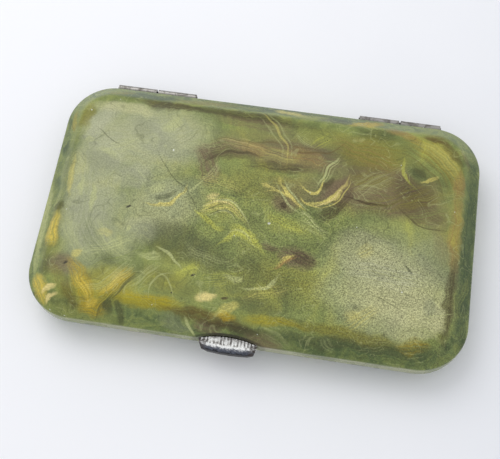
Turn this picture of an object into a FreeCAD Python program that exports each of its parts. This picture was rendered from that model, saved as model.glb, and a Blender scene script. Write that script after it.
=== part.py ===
import FreeCAD, Part
import math
import os
import Sketcher

# A hinged pocket case of two moulded shells, with two butt hinges at the rear and a rocking thumb
# catch at the front. The origin is the centre of the underside, +X runs along the case, -Y is the
# front with the catch, +Z is up. All sizes are millimetres.

SIZES = {
    # The two moulded shells, each half of the case's height
    "case_length": 130.0,
    "case_width": 77.5,
    "case_height": 17.0,
    "corner_radius": 14.5,
    "shell_wall": 2.1,
    "parting_gap": 0.1,
    # The sloping shoulder between the upright rim band and the flat top
    "shoulder_run": 6.4,
    "shoulder_drop": 5.9,
    "crease_round": 4.0,
    "band_round": 1.6,
    "core_run": 5.05,
    "core_drop": 4.65,
    "core_round": 2.0,
    # Solid bosses inside the rims that the hinges and the catch are screwed to
    "boss_depth": 9.6,
    "boss_round": 1.6,
    "hinge_boss_length": 30.0,
    "catch_boss_length": 25.0,
    # The hinges: flat leaves let into the rims, each with one knuckle
    "hinge_centre": 39.2,
    "hinge_length": 25.5,
    "axis_setback": 1.35,
    "sheet": 0.5,
    "leaf_reach": 7.6,
    "leaf_relief": 0.2,
    "leaf_corner": 1.2,
    "knuckle_radius": 1.1,
    "knuckle_gap": 0.6,
    "pin_radius": 0.55,
    "pin_play": 0.05,
    "pin_end": 0.3,
    "let_in_play": 0.1,
    "cut_over": 1.0,
    # The countersunk screws and their places on the leaves and plates
    "screw_head": 1.2,
    "screw_shank": 0.7,
    "screw_length": 3.6,
    "screw_point": 0.8,
    "screw_slot": 0.35,
    "screw_slot_depth": 0.22,
    "pilot_depth": 4.2,
    "hinge_screw_pitch": 16.0,
    "hinge_screw_inset": 4.4,
    "catch_screw_pitch": 13.0,
    "catch_screw_inset": 5.7,
    # The recess for the catch: an arched notch in the lid, a square slot in the base
    "catch_centre": -2.6,
    "notch_half_chord": 9.2,
    "notch_depth": 1.25,
    "notch_play": 0.25,
    "slot_half_width": 7.4,
    "slot_depth": 2.4,
    # The thumb catch: outward and upward from the front wall's face and the parting plane
    "thumb_half_width": 8.4,
    "thumb_low_half_width": 7.7,
    "thumb_lip_half_width": 5.9,
    "thumb_bow": 60.0,
    "thumb_rear": 1.8,
    "thumb_top": 3.7,
    "ridge_out": 1.5,
    "ridge_rise": 2.2,
    "belly_out": 2.8,
    "belly_drop": 0.6,
    "lip_out": 2.9,
    "lip_drop": 2.2,
    "thumb_skin": 0.7,
    "thumb_round": 0.5,
    "hook_front": 0.2,
    "hook_rise": 0.7,
    "flute_width": 0.5,
    "flute_depth": 0.24,
    "flute_pitch": 1.0,
    "flutes_each_side": 7,
    # The pivot of the thumb catch
    "pivot_in": 0.9,
    "pivot_drop": 1.5,
    "pivot_pin": 0.5,
    "pivot_pin_half": 7.0,
    "cheek_inner": 6.2,
    "cheek_thick": 0.6,
    "cheek_eye": 1.05,
    "ear_inner": 5.3,
    # The bracket on the base, the keeper on the lid and the flat spring
    "plate_half_width": 9.5,
    "plate_reach": 8.8,
    "keeper_half_width": 4.5,
    "keeper_edge": 0.55,
    "spring_half_width": 2.5,
    "spring_thick": 0.25,
    "spring_reach": 7.0,
    "spring_drop": 2.65,
    "spring_play": 0.2,
}

SHEET = "Sizes"
PARTING = "Sizes.case_height / 2"
HALF_GAP = "Sizes.parting_gap / 2"
SHELL_HEIGHT = f"({PARTING} - {HALF_GAP})"
REAR = "Sizes.case_width / 2"
FRONT = "-Sizes.case_width / 2"
HINGE_AXIS = f"{REAR} + Sizes.axis_setback"
NOTCH_RADIUS = "(Sizes.notch_half_chord^2 + Sizes.notch_depth^2) / (2 * Sizes.notch_depth)"
KNUCKLE_LENGTH = "(Sizes.hinge_length - Sizes.knuckle_gap) / 2"
# How far the flat web of a leaf runs into its rolled knuckle, as a share of the knuckle's radius
WEB_SHARE = 0.78
# How deep the catch's cheeks root in its skin, as a share of the skin's thickness
CHEEK_ROOT = 0.65
# The catch's swept bow against half its width: over 2, so that both ends are trimmed square
BOW_SPREAD = 2.3
COUNTERSINK_ANGLE = 90
ORIGIN_POINT = (-1, 1)
LEVEL_AXIS = -1
UPRIGHT_AXIS = -2
TOLERANCE = 1e-6

doc = FreeCAD.newDocument("pocket_case")


def make_sheet():
    """Write the driving dimensions to the document's spreadsheet, one aliased cell each."""
    sheet = doc.addObject("Spreadsheet::Sheet", SHEET)
    for row, (name, size) in enumerate(SIZES.items(), start=1):
        sheet.set(f"A{row}", name)
        sheet.set(f"B{row}", str(size))
        sheet.setAlias(f"B{row}", name)
    doc.recompute()


def value(expression):
    """The number that an expression on the sheet gives."""
    return float(doc.getObject(SHEET).evalExpression(expression))


def origin_feature(body, role):
    """One of a body's own origin planes or axes, found by its role."""
    return next(item for item in body.Origin.OriginFeatures if item.Role == role)


def new_body(name, across="0", back="0", up="0", turned=False):
    """A body placed by expressions. A turned body is upside down, with its rear still at the rear."""
    body = doc.addObject("PartDesign::Body", name)
    body.Label = name
    if turned:
        body.Placement = FreeCAD.Placement(FreeCAD.Vector(), FreeCAD.Rotation(FreeCAD.Vector(0, 1, 0), 180))
    for axis, expression in zip("xyz", (across, back, up)):
        body.setExpression(f"Placement.Base.{axis}", expression)
    return body


def new_sketch(body, name, role, lift="0", shift="0"):
    """An empty sketch on one of the body's planes, lifted along its normal and shifted along its X."""
    sketch = body.newObject("Sketcher::SketchObject", name)
    sketch.AttachmentSupport = [(origin_feature(body, role), "")]
    sketch.MapMode = "FlatFace"
    sketch.setExpression("AttachmentOffset.Base.z", lift)
    sketch.setExpression("AttachmentOffset.Base.x", shift)
    return sketch


def hold(sketch, geometry, point, kind, expression):
    """Hold one coordinate of a sketch point at the distance from the origin that an expression gives."""
    distance = value(expression)
    if abs(distance) < TOLERANCE:
        axis = UPRIGHT_AXIS if kind == "DistanceX" else LEVEL_AXIS
        sketch.addConstraint(Sketcher.Constraint("PointOnObject", geometry, point, axis))
        return
    ends = (*ORIGIN_POINT, geometry, point) if distance > 0 else (geometry, point, *ORIGIN_POINT)
    index = sketch.addConstraint(Sketcher.Constraint(kind, *ends, abs(distance)))
    sketch.setExpression(f"Constraints[{index}]", expression if distance > 0 else f"-({expression})")


def hold_point(sketch, geometry, point, place):
    """Hold a sketch point at a pair of expressions."""
    for kind, expression in zip(("DistanceX", "DistanceY"), place):
        hold(sketch, geometry, point, kind, expression)


def polygon(sketch, places):
    """A closed outline of straight lines through points that are pairs of expressions."""
    corners = [FreeCAD.Vector(value(across), value(up), 0) for across, up in places]
    lines = []
    for start, end in zip(corners, corners[1:] + corners[:1]):
        lines.append(sketch.addGeometry(Part.LineSegment(start, end)))
    for line, following in zip(lines, lines[1:] + lines[:1]):
        sketch.addConstraint(Sketcher.Constraint("Coincident", line, 2, following, 1))
    for line, place in zip(lines, places):
        hold_point(sketch, line, 1, place)


def rectangle(sketch, left, right, low, high):
    """A rectangle between four expressions."""
    polygon(sketch, [(left, low), (right, low), (right, high), (left, high)])


def circle(sketch, place, radius):
    """A circle about a point given by a pair of expressions."""
    centre = FreeCAD.Vector(value(place[0]), value(place[1]), 0)
    ring = sketch.addGeometry(Part.Circle(centre, FreeCAD.Vector(0, 0, 1), value(radius)))
    hold_point(sketch, ring, 3, place)
    index = sketch.addConstraint(Sketcher.Constraint("Radius", ring, value(radius)))
    sketch.setExpression(f"Constraints[{index}]", radius)


def rounded_rectangle(sketch, length, width, radius):
    """A rectangle about the origin with four equal tangent corner arcs."""
    half_length = value(length) / 2
    half_width = value(width) / 2
    corner = value(radius)
    signs = ((1, 1), (-1, 1), (-1, -1), (1, -1))
    arcs = []
    for quarter, (along, across) in enumerate(signs):
        centre = FreeCAD.Vector(along * (half_length - corner), across * (half_width - corner), 0)
        ring = Part.Circle(centre, FreeCAD.Vector(0, 0, 1), corner)
        sweep = (quarter * math.pi / 2, (quarter + 1) * math.pi / 2)
        arcs.append(sketch.addGeometry(Part.ArcOfCircle(ring, *sweep)))
    shapes = [sketch.Geometry[arc] for arc in arcs]
    runs = []
    for here, following in zip(shapes, shapes[1:] + shapes[:1]):
        runs.append(sketch.addGeometry(Part.LineSegment(here.EndPoint, following.StartPoint)))
    for arc, run, following in zip(arcs, runs, arcs[1:] + arcs[:1]):
        sketch.addConstraint(Sketcher.Constraint("Tangent", arc, 2, run, 1))
        sketch.addConstraint(Sketcher.Constraint("Tangent", run, 2, following, 1))
    for arc in arcs[1:]:
        sketch.addConstraint(Sketcher.Constraint("Equal", arcs[0], arc))
    index = sketch.addConstraint(Sketcher.Constraint("Radius", arcs[0], corner))
    sketch.setExpression(f"Constraints[{index}]", radius)
    rear, left, front, right = runs
    for run in (rear, front):
        sketch.addConstraint(Sketcher.Constraint("Horizontal", run))
    for run in (left, right):
        sketch.addConstraint(Sketcher.Constraint("Vertical", run))
    hold(sketch, rear, 1, "DistanceY", f"({width}) / 2")
    hold(sketch, front, 1, "DistanceY", f"-({width}) / 2")
    hold(sketch, left, 1, "DistanceX", f"-({length}) / 2")
    hold(sketch, right, 1, "DistanceX", f"({length}) / 2")


def pad(body, name, sketch, length, symmetric=False):
    """Thicken a sketch along its normal, or evenly to both sides of it."""
    feature = body.newObject("PartDesign::Pad", name)
    feature.Profile = sketch
    feature.SideType = "Symmetric" if symmetric else "One side"
    feature.setExpression("Length", length)
    return feature


def start_cut(body, kind, name):
    """Start a feature that takes material away, and give it with the body's volume before it."""
    doc.recompute()
    before = body.Shape.Volume
    return body.newObject(f"PartDesign::{kind}", name), before


def end_cut(body, feature, before):
    """Recompute after a cut and stop if the cut took nothing away."""
    body.Tip = feature
    doc.recompute()
    if not body.Shape.Volume < before - TOLERANCE:
        raise RuntimeError(f"{feature.Label} cuts nothing from {body.Label}")
    return feature


def pocket(body, name, sketch, depth=None, symmetric=False):
    """Cut a sketch upwards along its normal, to a depth or right through."""
    feature, before = start_cut(body, "Pocket", name)
    feature.Profile = sketch
    feature.Reversed = not symmetric
    feature.SideType = "Symmetric" if symmetric else "One side"
    if depth is None:
        feature.Type = "ThroughAll"
    else:
        feature.setExpression("Length", depth)
    return end_cut(body, feature, before)


def dress(body, kind, name, feature, keep):
    """Start a fillet or a chamfer on the edges of a feature that pass a test."""
    doc.recompute()
    names = [f"Edge{i}" for i, edge in enumerate(feature.Shape.Edges, start=1) if keep(edge)]
    if not names:
        raise RuntimeError(f"{name} finds no edge on {feature.Label}")
    result = body.newObject(f"PartDesign::{kind}", name)
    result.Base = (feature, names)
    return result


def fillet(body, name, feature, keep, radius):
    """Round the edges of a feature that pass a test."""
    result = dress(body, "Fillet", name, feature, keep)
    result.setExpression("Radius", radius)
    return result


def level_at(height):
    """A test for edges that lie at one height."""
    return lambda edge: all(abs(vertex.Z - height) < TOLERANCE for vertex in edge.Vertexes)


def upright_at(depth):
    """A test for upright edges at one distance from the case's middle line, front or rear."""
    def keep(edge):
        first, last = edge.Vertexes[0], edge.Vertexes[-1]
        upright = abs(first.X - last.X) < TOLERANCE and abs(first.Y - last.Y) < TOLERANCE
        return upright and abs(abs(first.Y) - depth) < TOLERANCE
    return keep


def moulded_block(body, inset, height, run, drop):
    """A rounded block, drawn in by an inset all round, with a sloping shoulder at its far side."""
    outline = new_sketch(body, f"{body.Label}_outline", "XY_Plane")
    length = f"Sizes.case_length - 2 * {inset}"
    width = f"Sizes.case_width - 2 * {inset}"
    rounded_rectangle(outline, length, width, f"Sizes.corner_radius - {inset}")
    block = pad(body, f"{body.Label}_block", outline, height)
    shoulder = dress(body, "Chamfer", f"{body.Label}_shoulder", block, level_at(value(height)))
    shoulder.ChamferType = "Two distances"
    shoulder.setExpression("Size", drop)
    shoulder.setExpression("Size2", run)
    return shoulder


def hinge_spans(half_length):
    """The left and right ends of each hinge's place along the case, as expressions."""
    spans = []
    for side in (-1, 1):
        centre = f"{side} * Sizes.hinge_centre"
        spans.append((f"{centre} - {half_length}", f"{centre} + {half_length}"))
    return spans


def make_core(name, catch_x):
    """The form of a shell's hollow, with the hinge and catch bosses left out of it."""
    body = new_body(name)
    height = f"{SHELL_HEIGHT} - Sizes.shell_wall"
    shoulder = moulded_block(body, "Sizes.shell_wall", height, "Sizes.core_run", "Sizes.core_drop")
    fillet(body, f"{name}_crease", shoulder, level_at(value(height)), "Sizes.core_round")
    bosses = new_sketch(body, f"{name}_bosses", "XY_Plane")
    for left, right in hinge_spans("Sizes.hinge_boss_length / 2"):
        rectangle(bosses, left, right, f"{REAR} - Sizes.boss_depth", REAR)
    half = "Sizes.catch_boss_length / 2"
    front_face = f"{FRONT} + Sizes.boss_depth"
    rectangle(bosses, f"{catch_x} - {half}", f"{catch_x} + {half}", FRONT, front_face)
    spared = pocket(body, f"{name}_spared", bosses)
    inner = value(f"{REAR} - Sizes.boss_depth")
    fillet(body, f"{name}_boss_corners", spared, upright_at(inner), "Sizes.boss_round")
    return body


def make_shell(name, catch_x, turned):
    """One shell: the outer form less its hollow, with the hinge leaves let into the rear rim."""
    core = make_core(f"{name}_core", catch_x)
    up = f"{PARTING} {'-' if turned else '+'} {HALF_GAP}"
    body = new_body(name, up=up, turned=turned)
    shoulder = moulded_block(body, "0", SHELL_HEIGHT, "Sizes.shoulder_run", "Sizes.shoulder_drop")
    crease = fillet(body, f"{name}_crease", shoulder, level_at(value(SHELL_HEIGHT)), "Sizes.crease_round")
    band_top = value(f"{SHELL_HEIGHT} - Sizes.shoulder_drop")
    fillet(body, f"{name}_band", crease, level_at(band_top), "Sizes.band_round")
    hollow, before = start_cut(body, "Boolean", f"{name}_hollow")
    hollow.Type = "Cut"
    hollow.setObjects([core])
    end_cut(body, hollow, before)
    seats = new_sketch(body, f"{name}_leaf_seats", "XY_Plane")
    for left, right in hinge_spans("(Sizes.hinge_length / 2 + Sizes.let_in_play)"):
        inner = f"{REAR} - Sizes.leaf_reach - Sizes.let_in_play"
        rectangle(seats, left, right, inner, f"{REAR} + Sizes.cut_over")
    pocket(body, f"{name}_leaf_seat", seats, "Sizes.sheet")
    pilots = new_sketch(body, f"{name}_pilots", "XY_Plane")
    for left, right in hinge_spans("Sizes.hinge_screw_pitch / 2"):
        for across in (left, right):
            circle(pilots, (across, f"{REAR} - Sizes.hinge_screw_inset"), "Sizes.screw_shank")
    for side in (-1, 1):
        across = f"{catch_x} + {side} * Sizes.catch_screw_pitch / 2"
        circle(pilots, (across, f"{FRONT} + Sizes.catch_screw_inset"), "Sizes.screw_shank")
    pocket(body, f"{name}_pilot", pilots, "Sizes.pilot_depth")
    return body


def keeper_outline(sketch, catch_x, front, tongue, play):
    """A plate with a tongue towards the front wall, larger all round by a play."""
    wide = f"(Sizes.plate_half_width + {play})"
    narrow = f"(Sizes.keeper_half_width + {play})"
    step = f"{front} + Sizes.slot_depth - {play}"
    rear = f"{front} + Sizes.plate_reach + {play}"
    left = [(f"{catch_x} - {wide}", rear), (f"{catch_x} - {wide}", step), (f"{catch_x} - {narrow}", step)]
    right = [(f"{catch_x} + {narrow}", step), (f"{catch_x} + {wide}", step), (f"{catch_x} + {wide}", rear)]
    tip = [(f"{catch_x} - {narrow}", tongue), (f"{catch_x} + {narrow}", tongue)]
    polygon(sketch, left + tip + right)


def make_lid():
    """The upper shell, with the arched notch for the thumb catch and the keeper's seat."""
    body = make_shell("lid_shell", "Sizes.catch_centre", turned=False)
    notch = new_sketch(body, "lid_notch_outline", "XY_Plane")
    centre = f"{FRONT} + Sizes.notch_depth - {NOTCH_RADIUS}"
    circle(notch, ("Sizes.catch_centre", centre), NOTCH_RADIUS)
    pocket(body, "lid_notch", notch)
    seat = new_sketch(body, "lid_keeper_outline", "XY_Plane")
    keeper_outline(seat, "Sizes.catch_centre", FRONT, FRONT, "Sizes.let_in_play")
    pocket(body, "lid_keeper_seat", seat, "Sizes.sheet")
    return body


def make_base():
    """The lower shell, with the slot for the catch's pivot and the seats of its bracket and spring."""
    catch_x = "-Sizes.catch_centre"
    body = make_shell("base_shell", catch_x, turned=True)
    slot_wall = f"{FRONT} + Sizes.slot_depth"
    cuts = (
        ("slot", "Sizes.slot_half_width", f"{FRONT} - Sizes.cut_over", slot_wall, None),
        ("bracket_seat", "(Sizes.plate_half_width + Sizes.let_in_play)", f"{slot_wall} - Sizes.let_in_play",
         f"{FRONT} + Sizes.plate_reach + Sizes.let_in_play", "Sizes.sheet"),
        ("spring_seat", "(Sizes.spring_half_width + Sizes.let_in_play)", f"{slot_wall} - Sizes.let_in_play",
         f"{FRONT} + Sizes.spring_reach + Sizes.let_in_play", "Sizes.sheet + Sizes.spring_thick"),
    )
    for name, half_width, low, high, depth in cuts:
        outline = new_sketch(body, f"base_{name}_outline", "XY_Plane")
        rectangle(outline, f"{catch_x} - {half_width}", f"{catch_x} + {half_width}", low, high)
        pocket(body, f"base_{name}", outline, depth)
    return body


def countersunk_holes(body, name, places, lift):
    """Screw holes through a thin plate, countersunk right through from its lower face."""
    outline = new_sketch(body, f"{name}_outline", "XY_Plane", lift)
    for place in places:
        circle(outline, place, "Sizes.screw_shank")
    hole, before = start_cut(body, "Hole", name)
    hole.Profile = outline
    hole.Reversed = True
    hole.DepthType = "ThroughAll"
    hole.HoleCutType = "Countersink"
    hole.HoleCutCustomValues = True
    hole.setExpression("Diameter", "2 * Sizes.screw_shank")
    hole.setExpression("HoleCutDiameter", "2 * Sizes.screw_head")
    hole.HoleCutCountersinkAngle = COUNTERSINK_ANGLE
    return end_cut(body, hole, before)


def make_leaf(name, side, on_lid):
    """One hinge leaf about the hinge's axis: a flat plate, a swaged web and one rolled knuckle.

    The lid's knuckle is the inner one on both hinges, the base's the outer one.
    """
    centre = f"{side} * Sizes.hinge_centre"
    body = new_body(name, centre, HINGE_AXIS, PARTING, turned=not on_lid)
    plate = new_sketch(body, f"{name}_plate_outline", "XY_Plane", HALF_GAP)
    half = "Sizes.hinge_length / 2"
    inner = "-(Sizes.axis_setback + Sizes.leaf_reach)"
    outer = "-(Sizes.axis_setback + Sizes.leaf_relief)"
    rectangle(plate, f"-{half}", half, inner, outer)
    flat = pad(body, f"{name}_plate", plate, "Sizes.sheet")
    fillet(body, f"{name}_corners", flat, upright_at(value("Sizes.axis_setback + Sizes.leaf_reach")),
           "Sizes.leaf_corner")
    start = "Sizes.knuckle_gap / 2" if side < 0 else f"-{half}"
    web = new_sketch(body, f"{name}_web_outline", "YZ_Plane", start)
    web_end = f"-{WEB_SHARE} * Sizes.knuckle_radius"
    rectangle(web, f"{outer} - 2 * Sizes.sheet", web_end, HALF_GAP, f"{HALF_GAP} + Sizes.sheet")
    pad(body, f"{name}_web", web, KNUCKLE_LENGTH)
    roll = new_sketch(body, f"{name}_roll_outline", "YZ_Plane", start)
    bore = "Sizes.pin_radius + Sizes.pin_play" if on_lid else "Sizes.pin_radius"
    circle(roll, ("0", "0"), "Sizes.knuckle_radius")
    circle(roll, ("0", "0"), bore)
    pad(body, f"{name}_knuckle", roll, KNUCKLE_LENGTH)
    row = "-(Sizes.axis_setback + Sizes.hinge_screw_inset)"
    places = [(f"{end} * Sizes.hinge_screw_pitch / 2", row) for end in (-1, 1)]
    countersunk_holes(body, f"{name}_holes", places, HALF_GAP)
    return body


def make_pin(name, across, back, up, radius, half_length):
    """A plain pin along X with rounded ends."""
    body = new_body(name, across, back, up)
    section = new_sketch(body, f"{name}_section", "YZ_Plane")
    circle(section, ("0", "0"), radius)
    shank = pad(body, f"{name}_shank", section, f"2 * ({half_length})", symmetric=True)
    fillet(body, f"{name}_ends", shank, lambda edge: len(edge.Vertexes) == 1, f"{radius} / 2")
    return body


def make_screws(name, across, back, pitch, on_lid):
    """Two countersunk, slotted screws whose heads lie flush with the rim."""
    up = f"{PARTING} {'+' if on_lid else '-'} {HALF_GAP}"
    body = new_body(name, across, back, up, turned=not on_lid)
    body.AllowCompound = True
    start = f"-{pitch} / 2"
    profile = new_sketch(body, f"{name}_profile", "XZ_Plane", shift=start)
    shoulder = "Sizes.screw_head - Sizes.screw_shank"
    polygon(profile, [
        ("0", "0"),
        ("Sizes.screw_head", "0"),
        ("Sizes.screw_shank", shoulder),
        ("Sizes.screw_shank", "Sizes.screw_length - Sizes.screw_point"),
        ("0", "Sizes.screw_length"),
    ])
    turned = body.newObject("PartDesign::Revolution", f"{name}_turned")
    turned.Profile = profile
    turned.ReferenceAxis = (profile, ["V_Axis"])
    groove = new_sketch(body, f"{name}_slot_outline", "XY_Plane", shift=start)
    half = "Sizes.screw_slot / 2"
    reach = "2 * Sizes.screw_head"
    rectangle(groove, f"-{half}", half, f"-{reach}", reach)
    slot = pocket(body, f"{name}_slot", groove, "Sizes.screw_slot_depth")
    pair = body.newObject("PartDesign::LinearPattern", f"{name}_pair")
    pair.Originals = [turned, slot]
    pair.Direction = (origin_feature(body, "X_Axis"), [""])
    pair.setExpression("Length", pitch)
    pair.Occurrences = 2
    body.Tip = pair
    return body


def make_plate(name, on_lid):
    """A sheet plate let into the front boss: the lid's keeper with its tongue, or the base's bracket."""
    body = new_body(name, "Sizes.catch_centre", FRONT, PARTING, turned=not on_lid)
    outline = new_sketch(body, f"{name}_outline", "XY_Plane", HALF_GAP)
    if on_lid:
        keeper_outline(outline, "0", "0", "Sizes.keeper_edge", "0")
    else:
        half = "Sizes.plate_half_width"
        rectangle(outline, f"-{half}", half, "Sizes.slot_depth", "Sizes.plate_reach")
    pad(body, f"{name}_flat", outline, "Sizes.sheet")
    places = [(f"{end} * Sizes.catch_screw_pitch / 2", "Sizes.catch_screw_inset") for end in (-1, 1)]
    countersunk_holes(body, f"{name}_holes", places, HALF_GAP)
    return body


def make_bracket():
    """The catch's bracket: a plate on the base with two ears bent forward to carry the pin."""
    body = make_plate("catch_bracket", on_lid=False)
    low = "Sizes.pivot_drop + Sizes.cheek_eye"
    ear = [
        ("Sizes.slot_depth + Sizes.sheet", HALF_GAP),
        ("Sizes.slot_depth + Sizes.sheet", f"{HALF_GAP} + Sizes.sheet"),
        ("Sizes.slot_depth - Sizes.let_in_play", f"{HALF_GAP} + Sizes.sheet"),
        ("Sizes.pivot_in + Sizes.cheek_eye", low),
        ("Sizes.pivot_in - Sizes.cheek_eye / 2", low),
        ("Sizes.pivot_in - Sizes.cheek_eye", "Sizes.pivot_drop"),
        ("Sizes.pivot_in - Sizes.cheek_eye / 2", HALF_GAP),
    ]
    for end, lift in (("left", "-(Sizes.ear_inner + Sizes.sheet)"), ("right", "Sizes.ear_inner")):
        outline = new_sketch(body, f"bracket_{end}_ear_outline", "YZ_Plane", lift)
        polygon(outline, ear)
        circle(outline, ("Sizes.pivot_in", "Sizes.pivot_drop"), "Sizes.pivot_pin")
        pad(body, f"bracket_{end}_ear", outline, "Sizes.sheet")
    return body


def make_spring():
    """The catch's return spring: a flat strip under the bracket, bent round below the pin."""
    body = new_body("catch_spring", "Sizes.catch_centre", FRONT, PARTING)
    thick = "Sizes.spring_thick"
    top = f"-({HALF_GAP} + Sizes.sheet)"
    leg = "Sizes.slot_depth - 2 * Sizes.spring_thick"
    low = "-Sizes.spring_drop"
    tip = "-(Sizes.lip_out - Sizes.thumb_skin)"
    outline = new_sketch(body, "spring_outline", "YZ_Plane", "-Sizes.spring_half_width")
    polygon(outline, [
        ("Sizes.spring_reach", top),
        (leg, top),
        (leg, low),
        (f"{tip} + 3 * {thick}", low),
        (f"{tip} + {thick} + Sizes.spring_play", f"{low} + 3 * {thick}"),
        (f"{tip} + Sizes.spring_play", f"{low} + 3 * {thick}"),
        (f"{tip} + 2 * {thick}", f"{low} - {thick}"),
        (f"{leg} + {thick}", f"{low} - {thick}"),
        (f"{leg} + {thick}", f"{top} - {thick}"),
        ("Sizes.spring_reach", f"{top} - {thick}"),
    ])
    pad(body, "spring_strip", outline, "2 * Sizes.spring_half_width")
    return body


def bow_axis(profile):
    """Add the upright axis of the catch's bow to its profile, as a construction line."""
    foot = ("Sizes.thumb_bow", "0")
    head = ("Sizes.thumb_bow", "Sizes.thumb_top")
    ends = [FreeCAD.Vector(value(across), value(up), 0) for across, up in (foot, head)]
    axis = profile.addGeometry(Part.LineSegment(*ends), True)
    hold_point(profile, axis, 1, foot)
    hold_point(profile, axis, 2, head)
    return (profile, ["Axis0"])


def thumb_form(body):
    """The bowed form of the catch: a sloping top, a steep belly, a lip and the hook behind."""
    skin = "Sizes.thumb_skin"
    profile = new_sketch(body, "thumb_profile", "YZ_Plane")
    polygon(profile, [
        ("Sizes.thumb_rear", "Sizes.thumb_top"),
        ("-Sizes.ridge_out", "Sizes.ridge_rise"),
        ("-Sizes.belly_out", "-Sizes.belly_drop"),
        ("-Sizes.lip_out", "-Sizes.lip_drop"),
        (f"-(Sizes.lip_out - {skin})", "-Sizes.lip_drop"),
        (f"-(Sizes.belly_out - {skin})", "-Sizes.belly_drop"),
        (f"-(Sizes.ridge_out - {skin} / 2)", f"Sizes.ridge_rise - {skin}"),
        ("-Sizes.hook_front", f"Sizes.ridge_rise - {skin} / 2"),
        ("-Sizes.hook_front", "Sizes.hook_rise"),
        ("Sizes.thumb_rear", "Sizes.hook_rise"),
    ])
    axis = bow_axis(profile)
    bowed = body.newObject("PartDesign::Revolution", "thumb_bowed")
    bowed.Profile = profile
    bowed.ReferenceAxis = axis
    bowed.Midplane = True
    bowed.setExpression("Angle", f"{BOW_SPREAD} * asin(Sizes.thumb_half_width / Sizes.thumb_bow)")
    fillet(body, "thumb_ridge", bowed, level_at(value("Sizes.ridge_rise")), "Sizes.thumb_round")
    return axis


def trim_thumb_ends(body):
    """Cut the catch to its outline from the front: tapered ends and slanted lower corners."""
    outline = new_sketch(body, "thumb_end_outline", "XZ_Plane")
    high = "2 * Sizes.thumb_top"
    low = "-2 * Sizes.lip_drop"
    for side in (-1, 1):
        far = f"{side} * 2 * Sizes.thumb_half_width"
        polygon(outline, [
            (f"{side} * Sizes.thumb_half_width", high),
            (f"{side} * Sizes.thumb_half_width", "Sizes.ridge_rise"),
            (f"{side} * Sizes.thumb_low_half_width", "-Sizes.belly_drop"),
            (f"{side} * Sizes.thumb_lip_half_width", "-Sizes.lip_drop"),
            (f"{side} * Sizes.thumb_lip_half_width", low),
            (far, low),
            (far, high),
        ])
    pocket(body, "thumb_ends", outline, symmetric=True)


def add_flutes(body, axis):
    """Cut the flutes across the catch's sloping top, fanned both ways about the axis of its bow."""
    outline = new_sketch(body, "flute_outline", "YZ_Plane")
    slope = "(Sizes.thumb_top - Sizes.ridge_rise) / (Sizes.thumb_rear + Sizes.ridge_out)"
    floor = "Sizes.ridge_rise - Sizes.flute_depth"
    front = "-2 * Sizes.ridge_out"
    rear = "2 * Sizes.thumb_rear"
    low_front = f"{floor} - Sizes.ridge_out * {slope}"
    low_rear = f"{floor} + (2 * Sizes.thumb_rear + Sizes.ridge_out) * {slope}"
    high = "2 * Sizes.thumb_top"
    polygon(outline, [(front, low_front), (rear, low_rear), (rear, high), (front, high)])
    flute = pocket(body, "flute", outline, "Sizes.flute_width", symmetric=True)
    step = "asin(Sizes.flute_pitch / (Sizes.thumb_bow + Sizes.ridge_out))"
    for way, turned_back in (("right", False), ("left", True)):
        fan, before = start_cut(body, "PolarPattern", f"flutes_{way}")
        fan.Originals = [flute]
        fan.Axis = axis
        fan.Reversed = turned_back
        fan.setExpression("Occurrences", "Sizes.flutes_each_side + 1")
        fan.setExpression("Angle", f"Sizes.flutes_each_side * {step}")
        end_cut(body, fan, before)


def add_cheeks(body):
    """Add the two cheeks behind the catch's skin, with the eyes that turn on the catch pin."""
    rear = "Sizes.let_in_play"
    inside = "-(Sizes.belly_out - Sizes.thumb_skin)"
    eye_top = "-(Sizes.pivot_drop - Sizes.cheek_eye)"
    cheek = [
        (rear, "Sizes.ridge_rise - Sizes.thumb_skin"),
        (f"-(Sizes.ridge_out - {CHEEK_ROOT} * Sizes.thumb_skin)", "Sizes.ridge_rise - Sizes.thumb_skin"),
        (inside, "-Sizes.belly_drop"),
        (inside, "-(Sizes.belly_drop + Sizes.thumb_skin)"),
        ("Sizes.pivot_in", "-(Sizes.pivot_drop + Sizes.cheek_eye)"),
        ("Sizes.pivot_in + Sizes.cheek_eye", "-Sizes.pivot_drop"),
        ("Sizes.pivot_in", eye_top),
        (rear, eye_top),
    ]
    for end, lift in (("left", "-(Sizes.cheek_inner + Sizes.cheek_thick)"), ("right", "Sizes.cheek_inner")):
        outline = new_sketch(body, f"thumb_{end}_cheek_outline", "YZ_Plane", lift)
        polygon(outline, cheek)
        circle(outline, ("Sizes.pivot_in", "-Sizes.pivot_drop"), "Sizes.pivot_pin + Sizes.pin_play")
        pad(body, f"thumb_{end}_cheek", outline, "Sizes.cheek_thick")


def make_thumb_catch():
    """The rocking thumb catch: a bowed, fluted lip with a hook and two cheeks behind it."""
    body = new_body("thumb_catch", "Sizes.catch_centre", FRONT, PARTING)
    axis = thumb_form(body)
    trim_thumb_ends(body)
    add_flutes(body, axis)
    add_cheeks(body)
    rear = new_sketch(body, "thumb_rear_outline", "XY_Plane")
    centre = ("0", f"Sizes.notch_depth - {NOTCH_RADIUS}")
    circle(rear, centre, f"{NOTCH_RADIUS} - Sizes.notch_play")
    circle(rear, centre, f"{NOTCH_RADIUS} + Sizes.boss_depth")
    pocket(body, "thumb_rear_arch", rear)
    return body


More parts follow.
